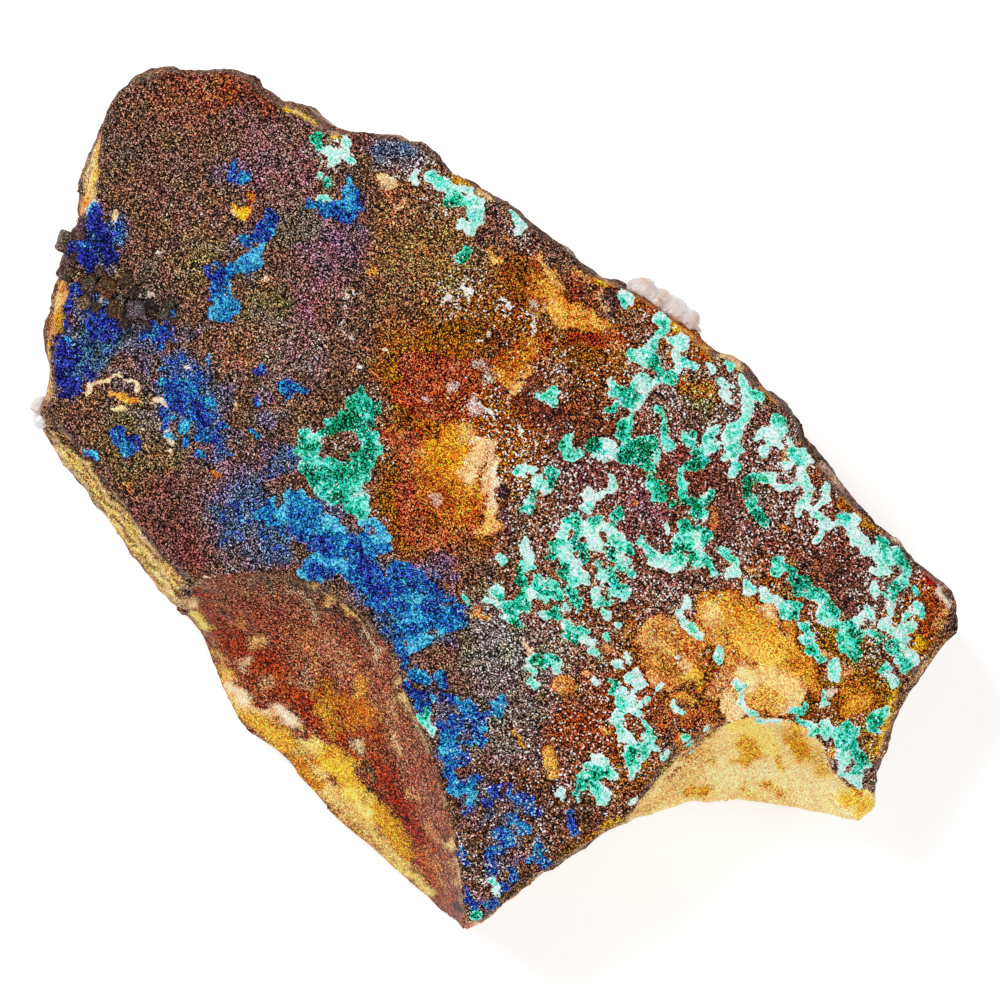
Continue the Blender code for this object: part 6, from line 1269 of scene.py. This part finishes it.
def paintSurface(mesh):
    # tint: the ground's own colour, with some painted shade laid in it. warm: the colour of a limonite growth,
    # with a few painted shadows and painted light laid in it.
    # cover: azurite, malachite, limonite growth, malachite tone. more: powder, azurite tone, calm, bare.
    points, normals = coordinates(mesh), normalsOf(mesh)
    places, inMm = sheetPlaces(points), points / mm
    inJasper, inBite = insideOf(places, jasperOutline), insideOf(places, biteOutline)
    upper = smoothStep(normals[:, 2], 0.25, 0.6) * (inMm[:, 2] > 10)
    top = upper * ~inJasper * ~inBite
    wander = wanderAt(places, 0.9, 2.0, 7.0)
    fine, sharp = places + paint["wander"] * wander, places + paint["sharpWander"] * wander
    broad = places + 1.3 * wanderAt(places, 0.3, 4.0, 8.0)
    broad += 0.5 * wanderAt(places, 1.1, 14.0, 18.0)

    depth = depthBelowRim(points, normals)
    wobble = noiseAt(inMm, 0.09, 12.0) * 3.0 + noiseAt(inMm * (0.5, 0.5, 2.0), 0.5, 15.0) * 1.1
    tint = bandColours(np.clip(depth + wobble * smoothStep(depth, 0.3, 4.0), 0, 30))
    tint *= (1 + 0.35 * noiseAt(inMm, 0.25, 33.0) * (1 - top))[:, None].clip(0.5, 1.5)
    # painted shade: the upper part of the sides facing north is drawn darker
    north = smoothStep(normals[:, 1], -0.05, 0.4) * smoothStep(depth, 9.0, 6.0)
    drawTo(tint, northShadeTint, paint["north"] * north)
    drawTo(tint, topTint, np.maximum(top, depth < 0.3))
    paintPatches(tint, broad, tintPatches, top)
    face = inJasper * (inMm[:, 2] > 2.0)
    drawTo(tint, jasperTint, face)
    ragged = [places + reach * wanderAt(inMm, waves, 51.0 + waves, 61.0 + waves)
              for reach, waves in paint["biteReach"]]
    lower = smoothStep(depth, 0.8, 3.0)
    scar = inBite * (1 - lower) + np.mean([insideOf(spot, biteOutline) for spot in ragged], axis=0) * lower
    scar *= smoothStep(normals[:, 2], -0.35, -0.1)
    drawTo(tint, biteTint, scar)
    ground, everywhere = tint.copy(), np.ones(len(tint))
    lay(ground, everywhere, sharp + 0.5 * wander, jasper, paint["softJasper"])
    lay(ground, everywhere, sharp, {"seams": jasper["seams"] + jasper["lip"]}, paint["softSeams"])
    drawTo(tint, ground * jasperDepth, face)
    ground = tint.copy()
    lay(ground, everywhere, fine, bite, paint["softBite"])
    rich = richness(ground)[:, None]
    drawTo(tint, ground * biteDepth * (1 - rich * (0.0, 0.2, 0.45)), scar)
    low = np.where(normals[:, 2] > 0.12, smoothStep(depth, 7.0, 4.0), smoothStep(depth + wobble, 2.6, 1.0))
    low *= (inMm[:, 2] > 8) * ~inJasper
    ground, bare = tint.copy(), np.zeros(len(tint))
    lay(ground, everywhere, sharp, edgeLayers(), paint["softLayers"])
    lay(ground, everywhere, fine, rind, paint["softRind"])
    drawTo(tint, ground * rindDepth, low)
    lay(ground, bare, sharp, edgeLayers(), paint["softLayers"])
    lay(ground, bare, fine, rind, paint["softRind"])

    warm, growth = np.zeros((len(tint), 3)), np.zeros(len(tint))
    lay(warm, growth, fine, limonite, paint["softLimonite"])
    blue, blueTone = strokeCover(fine, azurite, paint["softAzurite"], paint["swellAzurite"])
    green, greenTone = strokeCover(fine, malachite, paint["softMalachite"], paint["swellMalachite"])
    halo = strokeCover(broad, malachite, paint["halo"])[0]
    dust = patchCover(broad, azuriteDust)
    drawTo(tint, dustTint, (1.5 * dust * top).clip(0, 0.8))
    veil = np.maximum(paint["dustVeil"] * dust, paint["haloVeil"] * halo ** 2)
    blueTone = np.where(blue > veil, blueTone, 0.4) - 0.2 * smoothStep(places[:, 0], 30.0, 10.0)
    powder = np.maximum(paint["powder"] * patchCover(broad, powderPatches), paint["haloPowder"] * halo ** 2)
    powder = powder * top * (1 - 0.8 * growth) * (1 - 0.6 * green)
    blue, green = np.maximum(blue, veil) * upper * ~face, green * upper * ~face
    calm = 0.35 * (1 - top) * ~inJasper * ~inBite + 0.15 * face
    white = (warm.min(axis=1) / np.maximum(warm.max(axis=1), 1e-6))[:, None]
    warm *= 1 + (np.array(limoniteDepth) - 1) * (1 - white)
    warm *= 1 + (np.array(rustDepth) - 1) * smoothStep(growth, 0.95, 0.45)[:, None] * (1 - white)
    grey = tint.mean(axis=1)[:, None]
    tint += (tint - grey) * (paint["richer"] * top)[:, None]
    tint = tint.clip(0.002, 1.2)
    warm *= 1 - richness(warm)[:, None] * (0.0, 0.16, 0.0)
    storeColours(mesh, "tint", np.column_stack((tint, np.ones(len(tint)))))
    storeColours(mesh, "warm", np.column_stack((np.minimum(warm, 1.3), np.ones(len(tint)))))
    storeColours(mesh, "cover", np.column_stack((blue, green, growth * top, greenTone)))
    storeColours(mesh, "more", np.column_stack((powder, blueTone, calm, np.maximum(bare * low, face))))


paintSurface(matrixBody.data)
print("slab painted")


# ---- stone: soft-edged growths of several minerals, and a fine grain of dark and pale crystal faces, the palest partly painted glints

look = {
    "grain": 0.1, "dark": 0.02, "glintBright": 3.2,  # finest crystal faces: size in mm, darkest, and brightest with a painted glint
    "rare": 3.0,  # how few of them are bright, as painted glints
    "powder": 0.85, "dust": 0.15,  # how much paler a powdered face is, and its size in mm
    "flecks": 0.035, "fleckColour": (0.4, 0.34, 0.28),  # share of pale chips on bare jasper, and what they add
    "clump": 0.8, "facet": 0.35,  # width of the wandering edges of a growth, and of its lumps, mm
    "reach": 1.3, "patchy": 1.8, "start": -0.35, "edge": 0.2,  # how a painted share turns into patches
    "hue": 2.0, "hueSwing": 0.6,  # width in mm and strength of the drifting ground colour
    "rust": (0.88, 0.52, 0.36),  # how limonite darkens where it turns to rust, red to blue
    "rim": 0.3,  # how much paler malachite is at its edge
    "azurite": [(0.0, "#1a2068"), (0.22, "#2e34d0"), (0.45, "#1a52f8"), (0.7, "#2484ff"), (1.0, "#5cc6ff")],
    "malachite": [(0.0, "#0a5c40"), (0.28, "#10a070"), (0.5, "#34cc9c"), (0.75, "#84e8c8"), (1.0, "#c4f4e2")],
    "azuriteSwing": 1.4, "malachiteSwing": 1.7,  # how far their tones drift
    "darkest": 0.015, "palest": 0.97,  # limits of the colour as seen
    "bump": 0.05,  # mm
}
maths, vectors, between = "ShaderNodeMath", "ShaderNodeVectorMath", "ShaderNodeMapRange"
multiply, multiplyAdd = {"operation": "MULTIPLY"}, {"operation": "MULTIPLY_ADD"}
add, subtract = {"operation": "ADD"}, {"operation": "SUBTRACT"}


def stoneShader(name, contrast=1.0, ior=1.6):
    made, tree, shader = newMaterial(name)
    where = addNode(tree, "ShaderNodeTexCoord", out="Object")
    tint, warm, coverNode, moreNode = (
        addNode(tree, "ShaderNodeAttribute", {"attribute_name": painted}).outputs
        for painted in ("tint", "warm", "cover", "more"))
    noises = [addNode(tree, "ShaderNodeTexNoise",
                      {"Scale": 1 / (look[width] * mm), "Detail": detail, "Roughness": roughness},
                      {"Vector": where}, "Color")
              for width, detail, roughness in (("clump", 3.0, 0.62), ("hue", 3.0, 0.6), ("facet", 2.0, 0.6))]
    cells, specks = (
        addNode(tree, "ShaderNodeTexVoronoi", {"Scale": 1 / (look[width] * mm)}, {"Vector": where}).outputs
        for width in ("grain", "dust"))
    cover, more, clump, drifts, facets, dice, speck = (
        addNode(tree, "ShaderNodeSeparateColor", None, [colour]).outputs
        for colour in (coverNode["Color"], moreNode["Color"], *noises, cells["Color"], specks["Color"]))

    def marginOf(share, clumping):  # how surely a growth stands here: its share against the clumps
        need = addNode(tree, maths, multiplyAdd, [clumping, look["patchy"], look["start"]], 0)
        stretched = addNode(tree, maths, multiply, [share, look["reach"]], 0)
        return addNode(tree, maths, subtract, [stretched, need], 0)

    def grown(share, clumping):
        margin = marginOf(share, clumping)
        return addNode(tree, between, {"From Min": 0.0, "From Max": look["edge"]}, {"Value": margin}, 0)

    def toned(mineral, channel, tone):  # a mineral's colour where its tone drifts
        swing = look[mineral + "Swing"]
        drifted = addNode(tree, maths, add, [drifts[channel], facets[channel]], 0)
        drifted = addNode(tree, maths, multiplyAdd, [drifted, swing, -swing], 0)
        if mineral == "malachite":
            margin = marginOf(cover[1], clump[1])
            rim = {"From Min": 0.1, "From Max": 0.6, "To Min": look["rim"], "To Max": -0.08}
            rim = addNode(tree, between, rim, {"Value": margin}, 0)
            drifted = addNode(tree, maths, add, [drifted, rim], 0)
        tone = addNode(tree, maths, add, [drifted, tone], 0)
        return addNode(tree, "ShaderNodeValToRGB", {"stops": look[mineral]}, {"Fac": tone}, "Color")

    rusty = addNode(tree, between, {"From Min": 0.45, "From Max": 0.7, "To Max": 0.8}, {"Value": clump[0]}, 0)
    rust = addNode(tree, vectors, multiply, [warm["Color"], look["rust"]], 0)
    blend = {"data_type": "RGBA", "blend_type": "MIX"}
    rusted = addNode(tree, "ShaderNodeMix", blend, {0: rusty, 6: warm["Color"], 7: rust}, 2)
    colour = tint["Color"]
    for share, clumping, growth in (
            (cover[2], clump[2], rusted),
            (cover[0], clump[0], toned("azurite", 0, more[1])),
            (cover[1], clump[1], toned("malachite", 2, coverNode["Alpha"]))):
        colour = addNode(tree, "ShaderNodeMix", blend, {0: grown(share, clumping), 6: colour, 7: growth}, 2)

    # the colour as the eye sees it, and how light it is
    eye = addNode(tree, "ShaderNodeGamma", {"Gamma": 1 / 2.2}, {"Color": colour}, 0)
    light = addNode(tree, "ShaderNodeRGBToBW", None, {"Color": eye}, 0)
    pale, calmed, wide, lift = (
        addNode(tree, between, {"From Min": low, "From Max": high, "To Min": first, "To Max": last},
                {"Value": light}, 0)
        for low, high, first, last in ((0.35, 0.65, 0.0, 1.0), (0.3, 0.7, 1.0, 0.3),
                                       (0.3, 0.75, contrast, 0.22 * contrast), (0.2, 0.6, 1.0, 1.15)))
    swing = addNode(tree, vectors, subtract, [noises[1], (0.5, 0.5, 0.5)], 0)
    strength = tuple(part * look["hueSwing"] for part in (1, 0.6, 1.2))
    swing = addNode(tree, vectors, multiply, [swing, strength], 0)
    swing = addNode(tree, vectors, multiply, [swing, calmed], 0)
    swing = addNode(tree, vectors, add, [swing, (1.0,) * 3], 0)
    eye = addNode(tree, vectors, multiply, [eye, swing], 0)
    # most faces are drawn dark and a few bright: partly the stone's own grains, partly painted glints where
    # faces catch the light; pale powdery stone is more even
    face = addNode(tree, maths, {"operation": "POWER"}, [dice[0], look["rare"]], 0)
    face = addNode(tree, maths, multiplyAdd, [face, look["glintBright"] - look["dark"], look["dark"] - 1.0], 0)
    even = addNode(tree, maths, multiplyAdd, [dice[0], 3.0, -1.5], 0)
    evener = addNode(tree, maths, subtract, [even, face], 0)
    face = addNode(tree, maths, add, [face, addNode(tree, maths, multiply, [pale, evener], 0)], 0)
    lively = addNode(tree, maths, subtract, [1.0, more[2]], 0)
    wide = addNode(tree, maths, multiply, [wide, lively], 0)
    face = addNode(tree, maths, multiplyAdd, [face, wide, 1.0], 0)
    eye = addNode(tree, vectors, multiply, [eye, addNode(tree, maths, multiply, [lift, face], 0)], 0)
    fleck = addNode(tree, maths, {"operation": "GREATER_THAN"}, [speck[1], 1 - look["flecks"]], 0)
    fleck = addNode(tree, maths, multiply, [fleck, moreNode["Alpha"]], 0)
    fleck = addNode(tree, vectors, multiply, [fleck, look["fleckColour"]], 0)
    eye = addNode(tree, vectors, add, [eye, fleck], 0)
    powdered = addNode(tree, maths, multiplyAdd, [clump[1], 4.0, -1.0], 0)
    powdered = addNode(tree, maths, multiply, [more[0], powdered], 0)
    powdered = addNode(tree, maths, {"operation": "LESS_THAN"}, [speck[0], powdered], 0)
    powdered = addNode(tree, maths, multiply, [powdered, look["powder"]], 0)
    eye = addNode(tree, vectors, add, [eye, powdered], 0)
    eye = addNode(tree, vectors, {"operation": "MAXIMUM"}, [eye, (look["darkest"],) * 3], 0)
    eye = addNode(tree, vectors, {"operation": "MINIMUM"}, [eye, (look["palest"],) * 3], 0)
    bump = addNode(tree, "ShaderNodeBump", {"Strength": 0.7, "Distance": look["bump"] * mm},
                   {"Height": cells["Distance"]}, "Normal")
    dull = addNode(tree, maths, {"operation": "MAXIMUM"}, [cover[1], cover[2]], 0)
    rough = addNode(tree, between, {"To Min": 0.45, "To Max": 0.85}, {"Value": dull}, "Result")
    colour = addNode(tree, "ShaderNodeGamma", {"Gamma": 2.2}, {"Color": eye}, 0)
    tree.links.new(colour, shader.inputs["Base Color"])
    tree.links.new(rough, shader.inputs["Roughness"])
    tree.links.new(bump, shader.inputs["Normal"])
    shader.inputs["IOR"].default_value = ior
    shader.inputs["Specular IOR Level"].default_value = 0.04
    return made


# Limonite druse over jasper: every grain breaks its own way, so it glitters dark, rusty and pale; part of that
# glitter is painted glints in its colour.
drusyLimonite = stoneShader("drusyLimonite")
matrixBody.data.materials.clear()
matrixBody.data.materials.append(drusyLimonite)
# Loose faces of single crystals: the same minerals, with the same painted glints.
crystalGrains = stoneShader("crystalGrains", ior=1.7)


# ---- grains strewn over a surface

def scatterTree():
    # strews shapes over a mesh, thickest where its share attribute is high
    tree = bpy.data.node_groups.new("strewGrains", "GeometryNodeTree")
    sockets = {}
    for name, kind in (("Surface", "NodeSocketGeometry"), ("Shapes", "NodeSocketCollection"),
                       ("Spacing", "NodeSocketFloat"), ("Smallest", "NodeSocketFloat"),
                       ("Largest", "NodeSocketFloat"), ("Lean", "NodeSocketFloat"),
                       ("Sink", "NodeSocketFloat"), ("Seed", "NodeSocketInt"),
                       ("Stone", "NodeSocketMaterial")):
        sockets[name] = tree.interface.new_socket(name, in_out="INPUT", socket_type=kind).identifier
    tree.interface.new_socket("Grains", in_out="OUTPUT", socket_type="NodeSocketGeometry")
    given = addNode(tree, "NodeGroupInput").outputs
    share = addNode(tree, "GeometryNodeInputNamedAttribute", {"data_type": "FLOAT", "Name": "share"})
    strewn = addNode(tree, "GeometryNodeDistributePointsOnFaces",
                     {"distribute_method": "POISSON", "Density Max": 6.0e7},
                     {"Mesh": given["Surface"], "Distance Min": given["Spacing"],
                      "Density Factor": share.outputs[0], "Seed": given["Seed"]})
    dice = addNode(tree, "FunctionNodeRandomValue", {"data_type": "FLOAT_VECTOR"}, {"Seed": given["Seed"]})
    stored = addNode(tree, "GeometryNodeStoreNamedAttribute",
                     {"data_type": "FLOAT_VECTOR", "domain": "POINT", "Name": "grainSeed"},
                     {"Geometry": strewn.outputs["Points"], 3: dice.outputs["Value"]})
    down = addNode(tree, "ShaderNodeVectorMath", {"operation": "SCALE"},
                   {0: strewn.outputs["Normal"], "Scale": given["Sink"]})
    sunk = addNode(tree, "GeometryNodeSetPosition", links={"Geometry": stored.outputs["Geometry"],
                                                         "Offset": down.outputs[0]})
    size = addNode(tree, "FunctionNodeRandomValue", {"data_type": "FLOAT"},
                   {2: given["Smallest"], 3: given["Largest"], "Seed": given["Seed"]})
    lean = addNode(tree, "ShaderNodeCombineXYZ", {"Z": 3.2}, {"X": given["Lean"], "Y": given["Lean"]})
    back = addNode(tree, "ShaderNodeVectorMath", {"operation": "SCALE", "Scale": -1.0}, {0: lean.outputs[0]})
    turn = addNode(tree, "FunctionNodeRandomValue", {"data_type": "FLOAT_VECTOR"},
                   {0: back.outputs[0], 1: lean.outputs[0], "Seed": given["Seed"]})
    euler = addNode(tree, "FunctionNodeEulerToRotation", links={0: turn.outputs["Value"]})
    turned = addNode(tree, "FunctionNodeRotateRotation", {"rotation_space": "LOCAL"},
                     {0: strewn.outputs["Rotation"], 1: euler.outputs[0]})
    shapes = addNode(tree, "GeometryNodeCollectionInfo", {"Separate Children": True, "Reset Children": True},
                     {"Collection": given["Shapes"]})
    grains = addNode(tree, "GeometryNodeInstanceOnPoints", {"Pick Instance": True},
                     {"Points": sunk.outputs[0], "Instance": shapes.outputs[0],
                      "Rotation": turned.outputs[0], "Scale": size.outputs[1]})
    real = addNode(tree, "GeometryNodeRealizeInstances", links={0: grains.outputs[0]})
    dressed = addNode(tree, "GeometryNodeSetMaterial", links={0: real.outputs[0], "Material": given["Stone"]})
    addNode(tree, "NodeGroupOutput", links={0: dressed.outputs[0]})
    return tree, sockets


strewGrains, strewSockets = scatterTree()


def shapeCollection(name, shapes):
    made = bpy.data.collections.new(name)
    for index, bm in enumerate(shapes):
        mesh = bpy.data.meshes.new(name)
        bm.to_mesh(mesh)
        bm.free()
        made.objects.link(bpy.data.objects.new(f"{name}{index}", mesh))
    return made


def bluntCrystal(stretch, shear, seed):  # a slanted, uneven block, about 1 mm across
    rng = random.Random(seed)
    bm = bmesh.new()
    bmesh.ops.create_cube(bm, size=mm)
    for vert in bm.verts:
        vert.co = Vector((vert.co.x * stretch[0] + vert.co.z * shear, vert.co.y * stretch[1],
                          vert.co.z * stretch[2])) * rng.uniform(0.82, 1.1)
    return bm


def pointedCrystal(stretch, seed):  # an eight-faced grain
    rng = random.Random(seed)
    bm = bmesh.new()
    bmesh.ops.create_uvsphere(bm, u_segments=4, v_segments=2, radius=mm / 2)
    for vert in bm.verts:
        vert.co = Vector([part * scale * rng.uniform(0.8, 1.15) for part, scale in zip(vert.co, stretch)])
    return bm


def tuft(squash, seed, rounds=1):  # a lumpy grain
    rng = random.Random(seed)
    bm = bmesh.new()
    bmesh.ops.create_icosphere(bm, subdivisions=rounds, radius=mm / 2)
    for vert in bm.verts:
        vert.co *= rng.uniform(0.7, 1.2) if rounds == 1 else rng.uniform(0.88, 1.08)
        vert.co.z *= squash
    return bm


grainShapes = {
    "azurite": shapeCollection("azuriteShapes", [
        bluntCrystal((1.1, 0.7, 1.0), 0.3, 1), bluntCrystal((0.8, 1.0, 0.7), -0.3, 2),
        bluntCrystal((0.6, 0.9, 1.3), 0.2, 3)]),
    "druse": shapeCollection("druseShapes", [
        pointedCrystal((1.0, 1.0, 1.2), 1), pointedCrystal((1.2, 0.8, 0.9), 2),
        pointedCrystal((0.8, 1.1, 1.0), 3)]),
    "granule": shapeCollection("granuleShapes", [tuft(0.9, 4, 2), tuft(1.0, 5, 2), tuft(0.8, 6, 2)]),
    "goethite": shapeCollection("goethiteShapes", [
        bluntCrystal((1.0, 0.9, 0.9), 0.05, 7), bluntCrystal((0.9, 1.0, 1.1), -0.1, 8)]),
    "malachite": shapeCollection("malachiteShapes", [tuft(0.7, 1), tuft(0.9, 2), tuft(0.6, 3)]),
}
grainFields = {  # spacing and sizes in mm
    "azuriteCrystals": {"shapes": "azurite", "spacing": 0.30, "smallest": 0.26, "largest": 0.52,
                        "lean": 0.9, "sink": 0.02, "seed": 11},
    "malachiteTufts": {"shapes": "malachite", "spacing": 0.31, "smallest": 0.26, "largest": 0.46,
                       "lean": 0.7, "sink": 0.02, "seed": 23},
    "druseCoarse": {"shapes": "druse", "spacing": 0.42, "smallest": 0.28, "largest": 0.52,
                    "lean": 0.8, "sink": 0.08, "seed": 37},
    "druseFine": {"shapes": "druse", "spacing": 0.4, "smallest": 0.2, "largest": 0.4,
                  "lean": 1.2, "sink": 0.03, "seed": 41},
    "granules": {"shapes": "granule", "spacing": 0.55, "smallest": 0.5, "largest": 1.0,
                 "lean": 0.9, "sink": 0.1, "seed": 53},
    "goethiteCrumbs": {"shapes": "goethite", "spacing": 0.4, "smallest": 0.4, "largest": 1.0,
                       "lean": 0.5, "sink": 0.05, "seed": 61},
}
granuleFields = [  # where the druse grows in round granules: x, y, radius, share
    (24, 35.6, 2.6, 0.5), (27.6, 37.6, 3, 0.55), (31.6, 38.6, 2.6, 0.5), (24.6, 38.4, 1.8, 0.4),
    (29.6, 35.4, 2.2, 0.4), (66.4, 64.6, 2.4, 0.7), (68.4, 67.6, 2.6, 0.7), (66.8, 70, 2, 0.6),
    (70.2, 69.6, 1.6, 0.5), (73.6, 66.4, 1.2, 0.5), (41.4, 46.6, 1.8, 0.3), (37, 40.2, 2, 0.4),
]
crumbFields = [  # where it breaks into blocks
    (7.4, 25.4, 2, 0.7), (9.6, 28.6, 2.2, 0.8), (12, 29.4, 2.4, 0.8), (14.4, 31, 2, 0.8),
    (16.6, 31.6, 1.4, 0.6), (8.2, 23, 1.6, 0.5), (12.6, 32.8, 1.4, 0.6),
]
goethite = {  # larger blocks on the western shoulder
    "blocks": [  # x, y, edge length, rise in mm, turn in degrees, colour
        (6.8, 24.3, 1.9, 0.5, 20, "#7c6656"), (8.1, 23.4, 1.2, 0.5, 50, "#6a4a48"),
        (6.8, 27.2, 1.7, 0.4, 10, "#6a5248"), (9.2, 28.5, 1.7, 0.6, 35, "#5c4c40"),
        (10.9, 28.8, 1.9, 0.7, 5, "#6c4a30"), (8.6, 30.3, 1.4, 0.4, 60, "#7c6450"),
        (11.6, 30.8, 1.7, 0.6, 25, "#6c4c3c"), (13.8, 31.0, 1.6, 0.6, 45, "#6c5e62"),
        (15.2, 30.8, 1.5, 0.5, 15, "#3c302c"), (12.7, 28.1, 1.3, 0.5, 70, "#5c4438"),
        (16.5, 31.5, 1.2, 0.4, 30, "#5a4844"), (7.4, 25.8, 1.1, 0.4, 0, "#564438"),
        (9.8, 30.8, 1.0, 0.3, 40, "#644c40"), (12.6, 32.4, 1.2, 0.4, 10, "#4c3c3c"),
        (14.6, 32.6, 0.9, 0.3, 55, "#544648"), (10.1, 27.3, 1.0, 0.4, 65, "#50403a"),
        (13.6, 29.2, 1.0, 0.4, 20, "#4c3a34"), (17.0, 30.3, 1.0, 0.3, 35, "#58483c"),
    ],
    "lean": 0.35,  # how far a block may lean, radians
    "shade": 0.6, "rise": 0.35, "roughness": 0.06,  # how dark they are; mm
}
quartz = {"net": 0.35, "swell": 0.3, "lumps": 0.25, "stain": 1.6}  # mm


def strew(name, surface, share):
    size = grainFields[name]
    ground = objectOf(name, surface.copy())
    layer = ground.data.attributes.new("share", "FLOAT", "POINT")
    layer.data.foreach_set("value", np.clip(share, 0, 1).astype(np.float32))
    modifier = ground.modifiers.new("strew", "NODES")
    modifier.node_group = strewGrains
    for key, value in (("Shapes", grainShapes[size["shapes"]]), ("Spacing", size["spacing"] * mm),
                       ("Smallest", size["smallest"]), ("Largest", size["largest"]),
                       ("Lean", size["lean"]), ("Sink", -size["sink"] * mm), ("Seed", size["seed"]),
                       ("Stone", crystalGrains)):
        modifier[strewSockets[key]] = value
    applied(ground)
    print(name, "has", sum(len(face.vertices) - 2 for face in ground.data.polygons), "triangles")
    return ground


def readColours(mesh, name):
    values = np.empty(len(mesh.vertices) * 4, np.float32)
    mesh.attributes[name].data.foreach_get("color", values)
    return values.reshape(-1, 4)


cover, more = readColours(matrixBody.data, "cover"), readColours(matrixBody.data, "more")
points, normals = coordinates(matrixBody.data), normalsOf(matrixBody.data)
places = sheetPlaces(points)
onTop = (normals[:, 2] > 0.45) & (points[:, 2] > slab["upperSide"] * mm)
onTop &= ~insideOf(places, jasperOutline)
onTop = onTop * ~insideOf(places, biteOutline) * (1 - more[:, 3])
bareness = 1 - np.clip(cover[:, 0] + cover[:, 1], 0, 1)
azuriteCrystals = strew("azuriteCrystals", matrixBody.data, cover[:, 0] * 1.2 - 0.1)
malachiteTufts = strew("malachiteTufts", matrixBody.data, cover[:, 1] * 1.2 - 0.1)
blocky = patchCover(places, crumbFields)
druseCoarse = strew("druseCoarse", matrixBody.data, onTop * bareness * (1 - 0.5 * cover[:, 2]) * (1 - blocky))
druseFine = strew("druseFine", matrixBody.data, onTop * bareness * 0.9)
granules = strew("granules", matrixBody.data, onTop * patchCover(places, granuleFields) * bareness)
goethiteCrumbs = strew("goethiteCrumbs", matrixBody.data, onTop * blocky)

# ---- goethite blocks and quartz knobs

topTree = kdtree.KDTree(len(points))
for index in np.flatnonzero(normals[:, 2] > 0.2).tolist():
    topTree.insert((points[index, 0], points[index, 1], 0), index)
topTree.balance()


def heightAt(spot):  # of the slab's upper side over a spot
    return points[topTree.find((spot.x, spot.y, 0))[1], 2]


def blockyPiece(name):
    rng = random.Random(5)
    bm, tints = bmesh.new(), []
    for x, y, edge, rise, turn, colour in goethite["blocks"]:
        spot = place(x, y)
        spot.z = heightAt(spot) + (goethite["rise"] + rise - edge / 2) * mm
        leanX, leanY = (Matrix.Rotation(rng.uniform(-goethite["lean"], goethite["lean"]), 4, axis)
                        for axis in "XY")
        shape = Matrix.Diagonal([edge * mm * rng.uniform(0.88, 1.1) for _ in range(3)] + [1])
        made = bmesh.ops.create_cube(bm, size=1.0, matrix=Matrix.Translation(spot) @ Matrix.Rotation(
            radians(turn), 4, "Z") @ (leanX @ leanY) @ shape)
        edges = {e for v in made["verts"] for e in v.link_edges}
        bmesh.ops.bevel(bm, geom=list(edges), offset=edge * 0.1 * mm, segments=1, affect="EDGES")
        tints += [hexColour(colour)] * (len(bm.verts) - len(tints))
    mesh = bpy.data.meshes.new(name)
    bm.verts.index_update()
    bm.to_mesh(mesh)
    bm.free()
    storeColours(mesh, "tint", np.array(tints) * goethite["shade"])
    storeColours(mesh, "more", np.array([(0, 0, 0.5, 0)] * len(tints)))
    made = objectOf(name, mesh)
    split = made.modifiers.new("split", "SUBSURF")
    split.subdivision_type, split.levels = "SIMPLE", 2
    applied(made)
    spots, out = coordinates(made.data), normalsOf(made.data)
    push = goethite["roughness"] * noiseAt(spots / mm, 2.2, 6.0) * mm
    setCoordinates(made.data, spots + out * push[:, None])
    made.data.materials.append(crystalGrains)
    return made


def quartzPiece(name):
    made = remeshed(name, meshFromNodes(nodesOf("quartz")), quartz["net"])
    spots, out = coordinates(made.data), normalsOf(made.data)
    push = quartz["swell"] + quartz["lumps"] * noiseAt(spots / mm, 0.9, 4.0)
    push += 0.3 * quartz["lumps"] * noiseAt(spots / mm, 3.0, 8.0)
    setCoordinates(made.data, spots + out * (push * mm)[:, None])
    made.data.materials.append(milkyQuartz)
    return made


# Milky quartz, broken rough: pinkish white, a little light passes and iron stains its hollows.
milkyQuartz, tree, shader = newMaterial("milkyQuartz")
where = addNode(tree, "ShaderNodeTexCoord", out="Object")
stains = addNode(tree, "ShaderNodeTexNoise", {"Scale": 1 / (quartz["stain"] * mm), "Detail": 4.0},
                 {"Vector": where}, "Fac")
quartzStops = [(0.22, "#b06c44"), (0.34, "#ecc8ac"), (0.45, "#f6e8e2"), (0.7, "#fdfaf8")]
stained = addNode(tree, "ShaderNodeValToRGB", {"stops": quartzStops}, {"Fac": stains}, "Color")
tree.links.new(stained, shader.inputs["Base Color"])
shader.inputs["Roughness"].default_value = 0.38
shader.inputs["IOR"].default_value = 1.544
shader.inputs["Transmission Weight"].default_value = 0.25
goethiteBlocks = blockyPiece("goethiteBlocks")
quartzKnobs = quartzPiece("quartzKnobs")

# ---- floor, bodies and replaced solids

floorMesh = bpy.data.meshes.new("floor")
floorMesh.from_pydata([(-3, -3, 0), (3, -3, 0), (3, 3, 0), (-3, 3, 0)], [], [(0, 1, 2, 3)])
paleFloor, tree, shader = newMaterial("paleFloor")
shader.inputs["Base Color"].default_value = (0.75, 0.75, 0.75, 1)
shader.inputs["Roughness"].default_value = 0.9
shader.inputs["Emission Color"].default_value = (1, 1, 1, 1)
shader.inputs["Emission Strength"].default_value = 0.5
floorMesh.materials.append(paleFloor)
floor = objectOf("floor", floorMesh)
floor.location.z = -0.0002  # a hair under the piece

for piece, slotName, replaced in (
        (matrixBody, "matrix_stone", ["limonite_slab"]),
        (azuriteCrystals, "azurite", nodesOf("azurite")),
        (malachiteTufts, "malachite", nodesOf("malachite")),
        (druseCoarse, "matrix_stone", []),
        (druseFine, "matrix_stone", []),
        (granules, "matrix_stone", []),
        (goethiteCrumbs, "goethite", []),
        (goethiteBlocks, "goethite", ["goethite_blocks"]),
        (quartzKnobs, "quartz", nodesOf("quartz"))):
    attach(piece, "root")
    if replaced:
        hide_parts(*replaced)
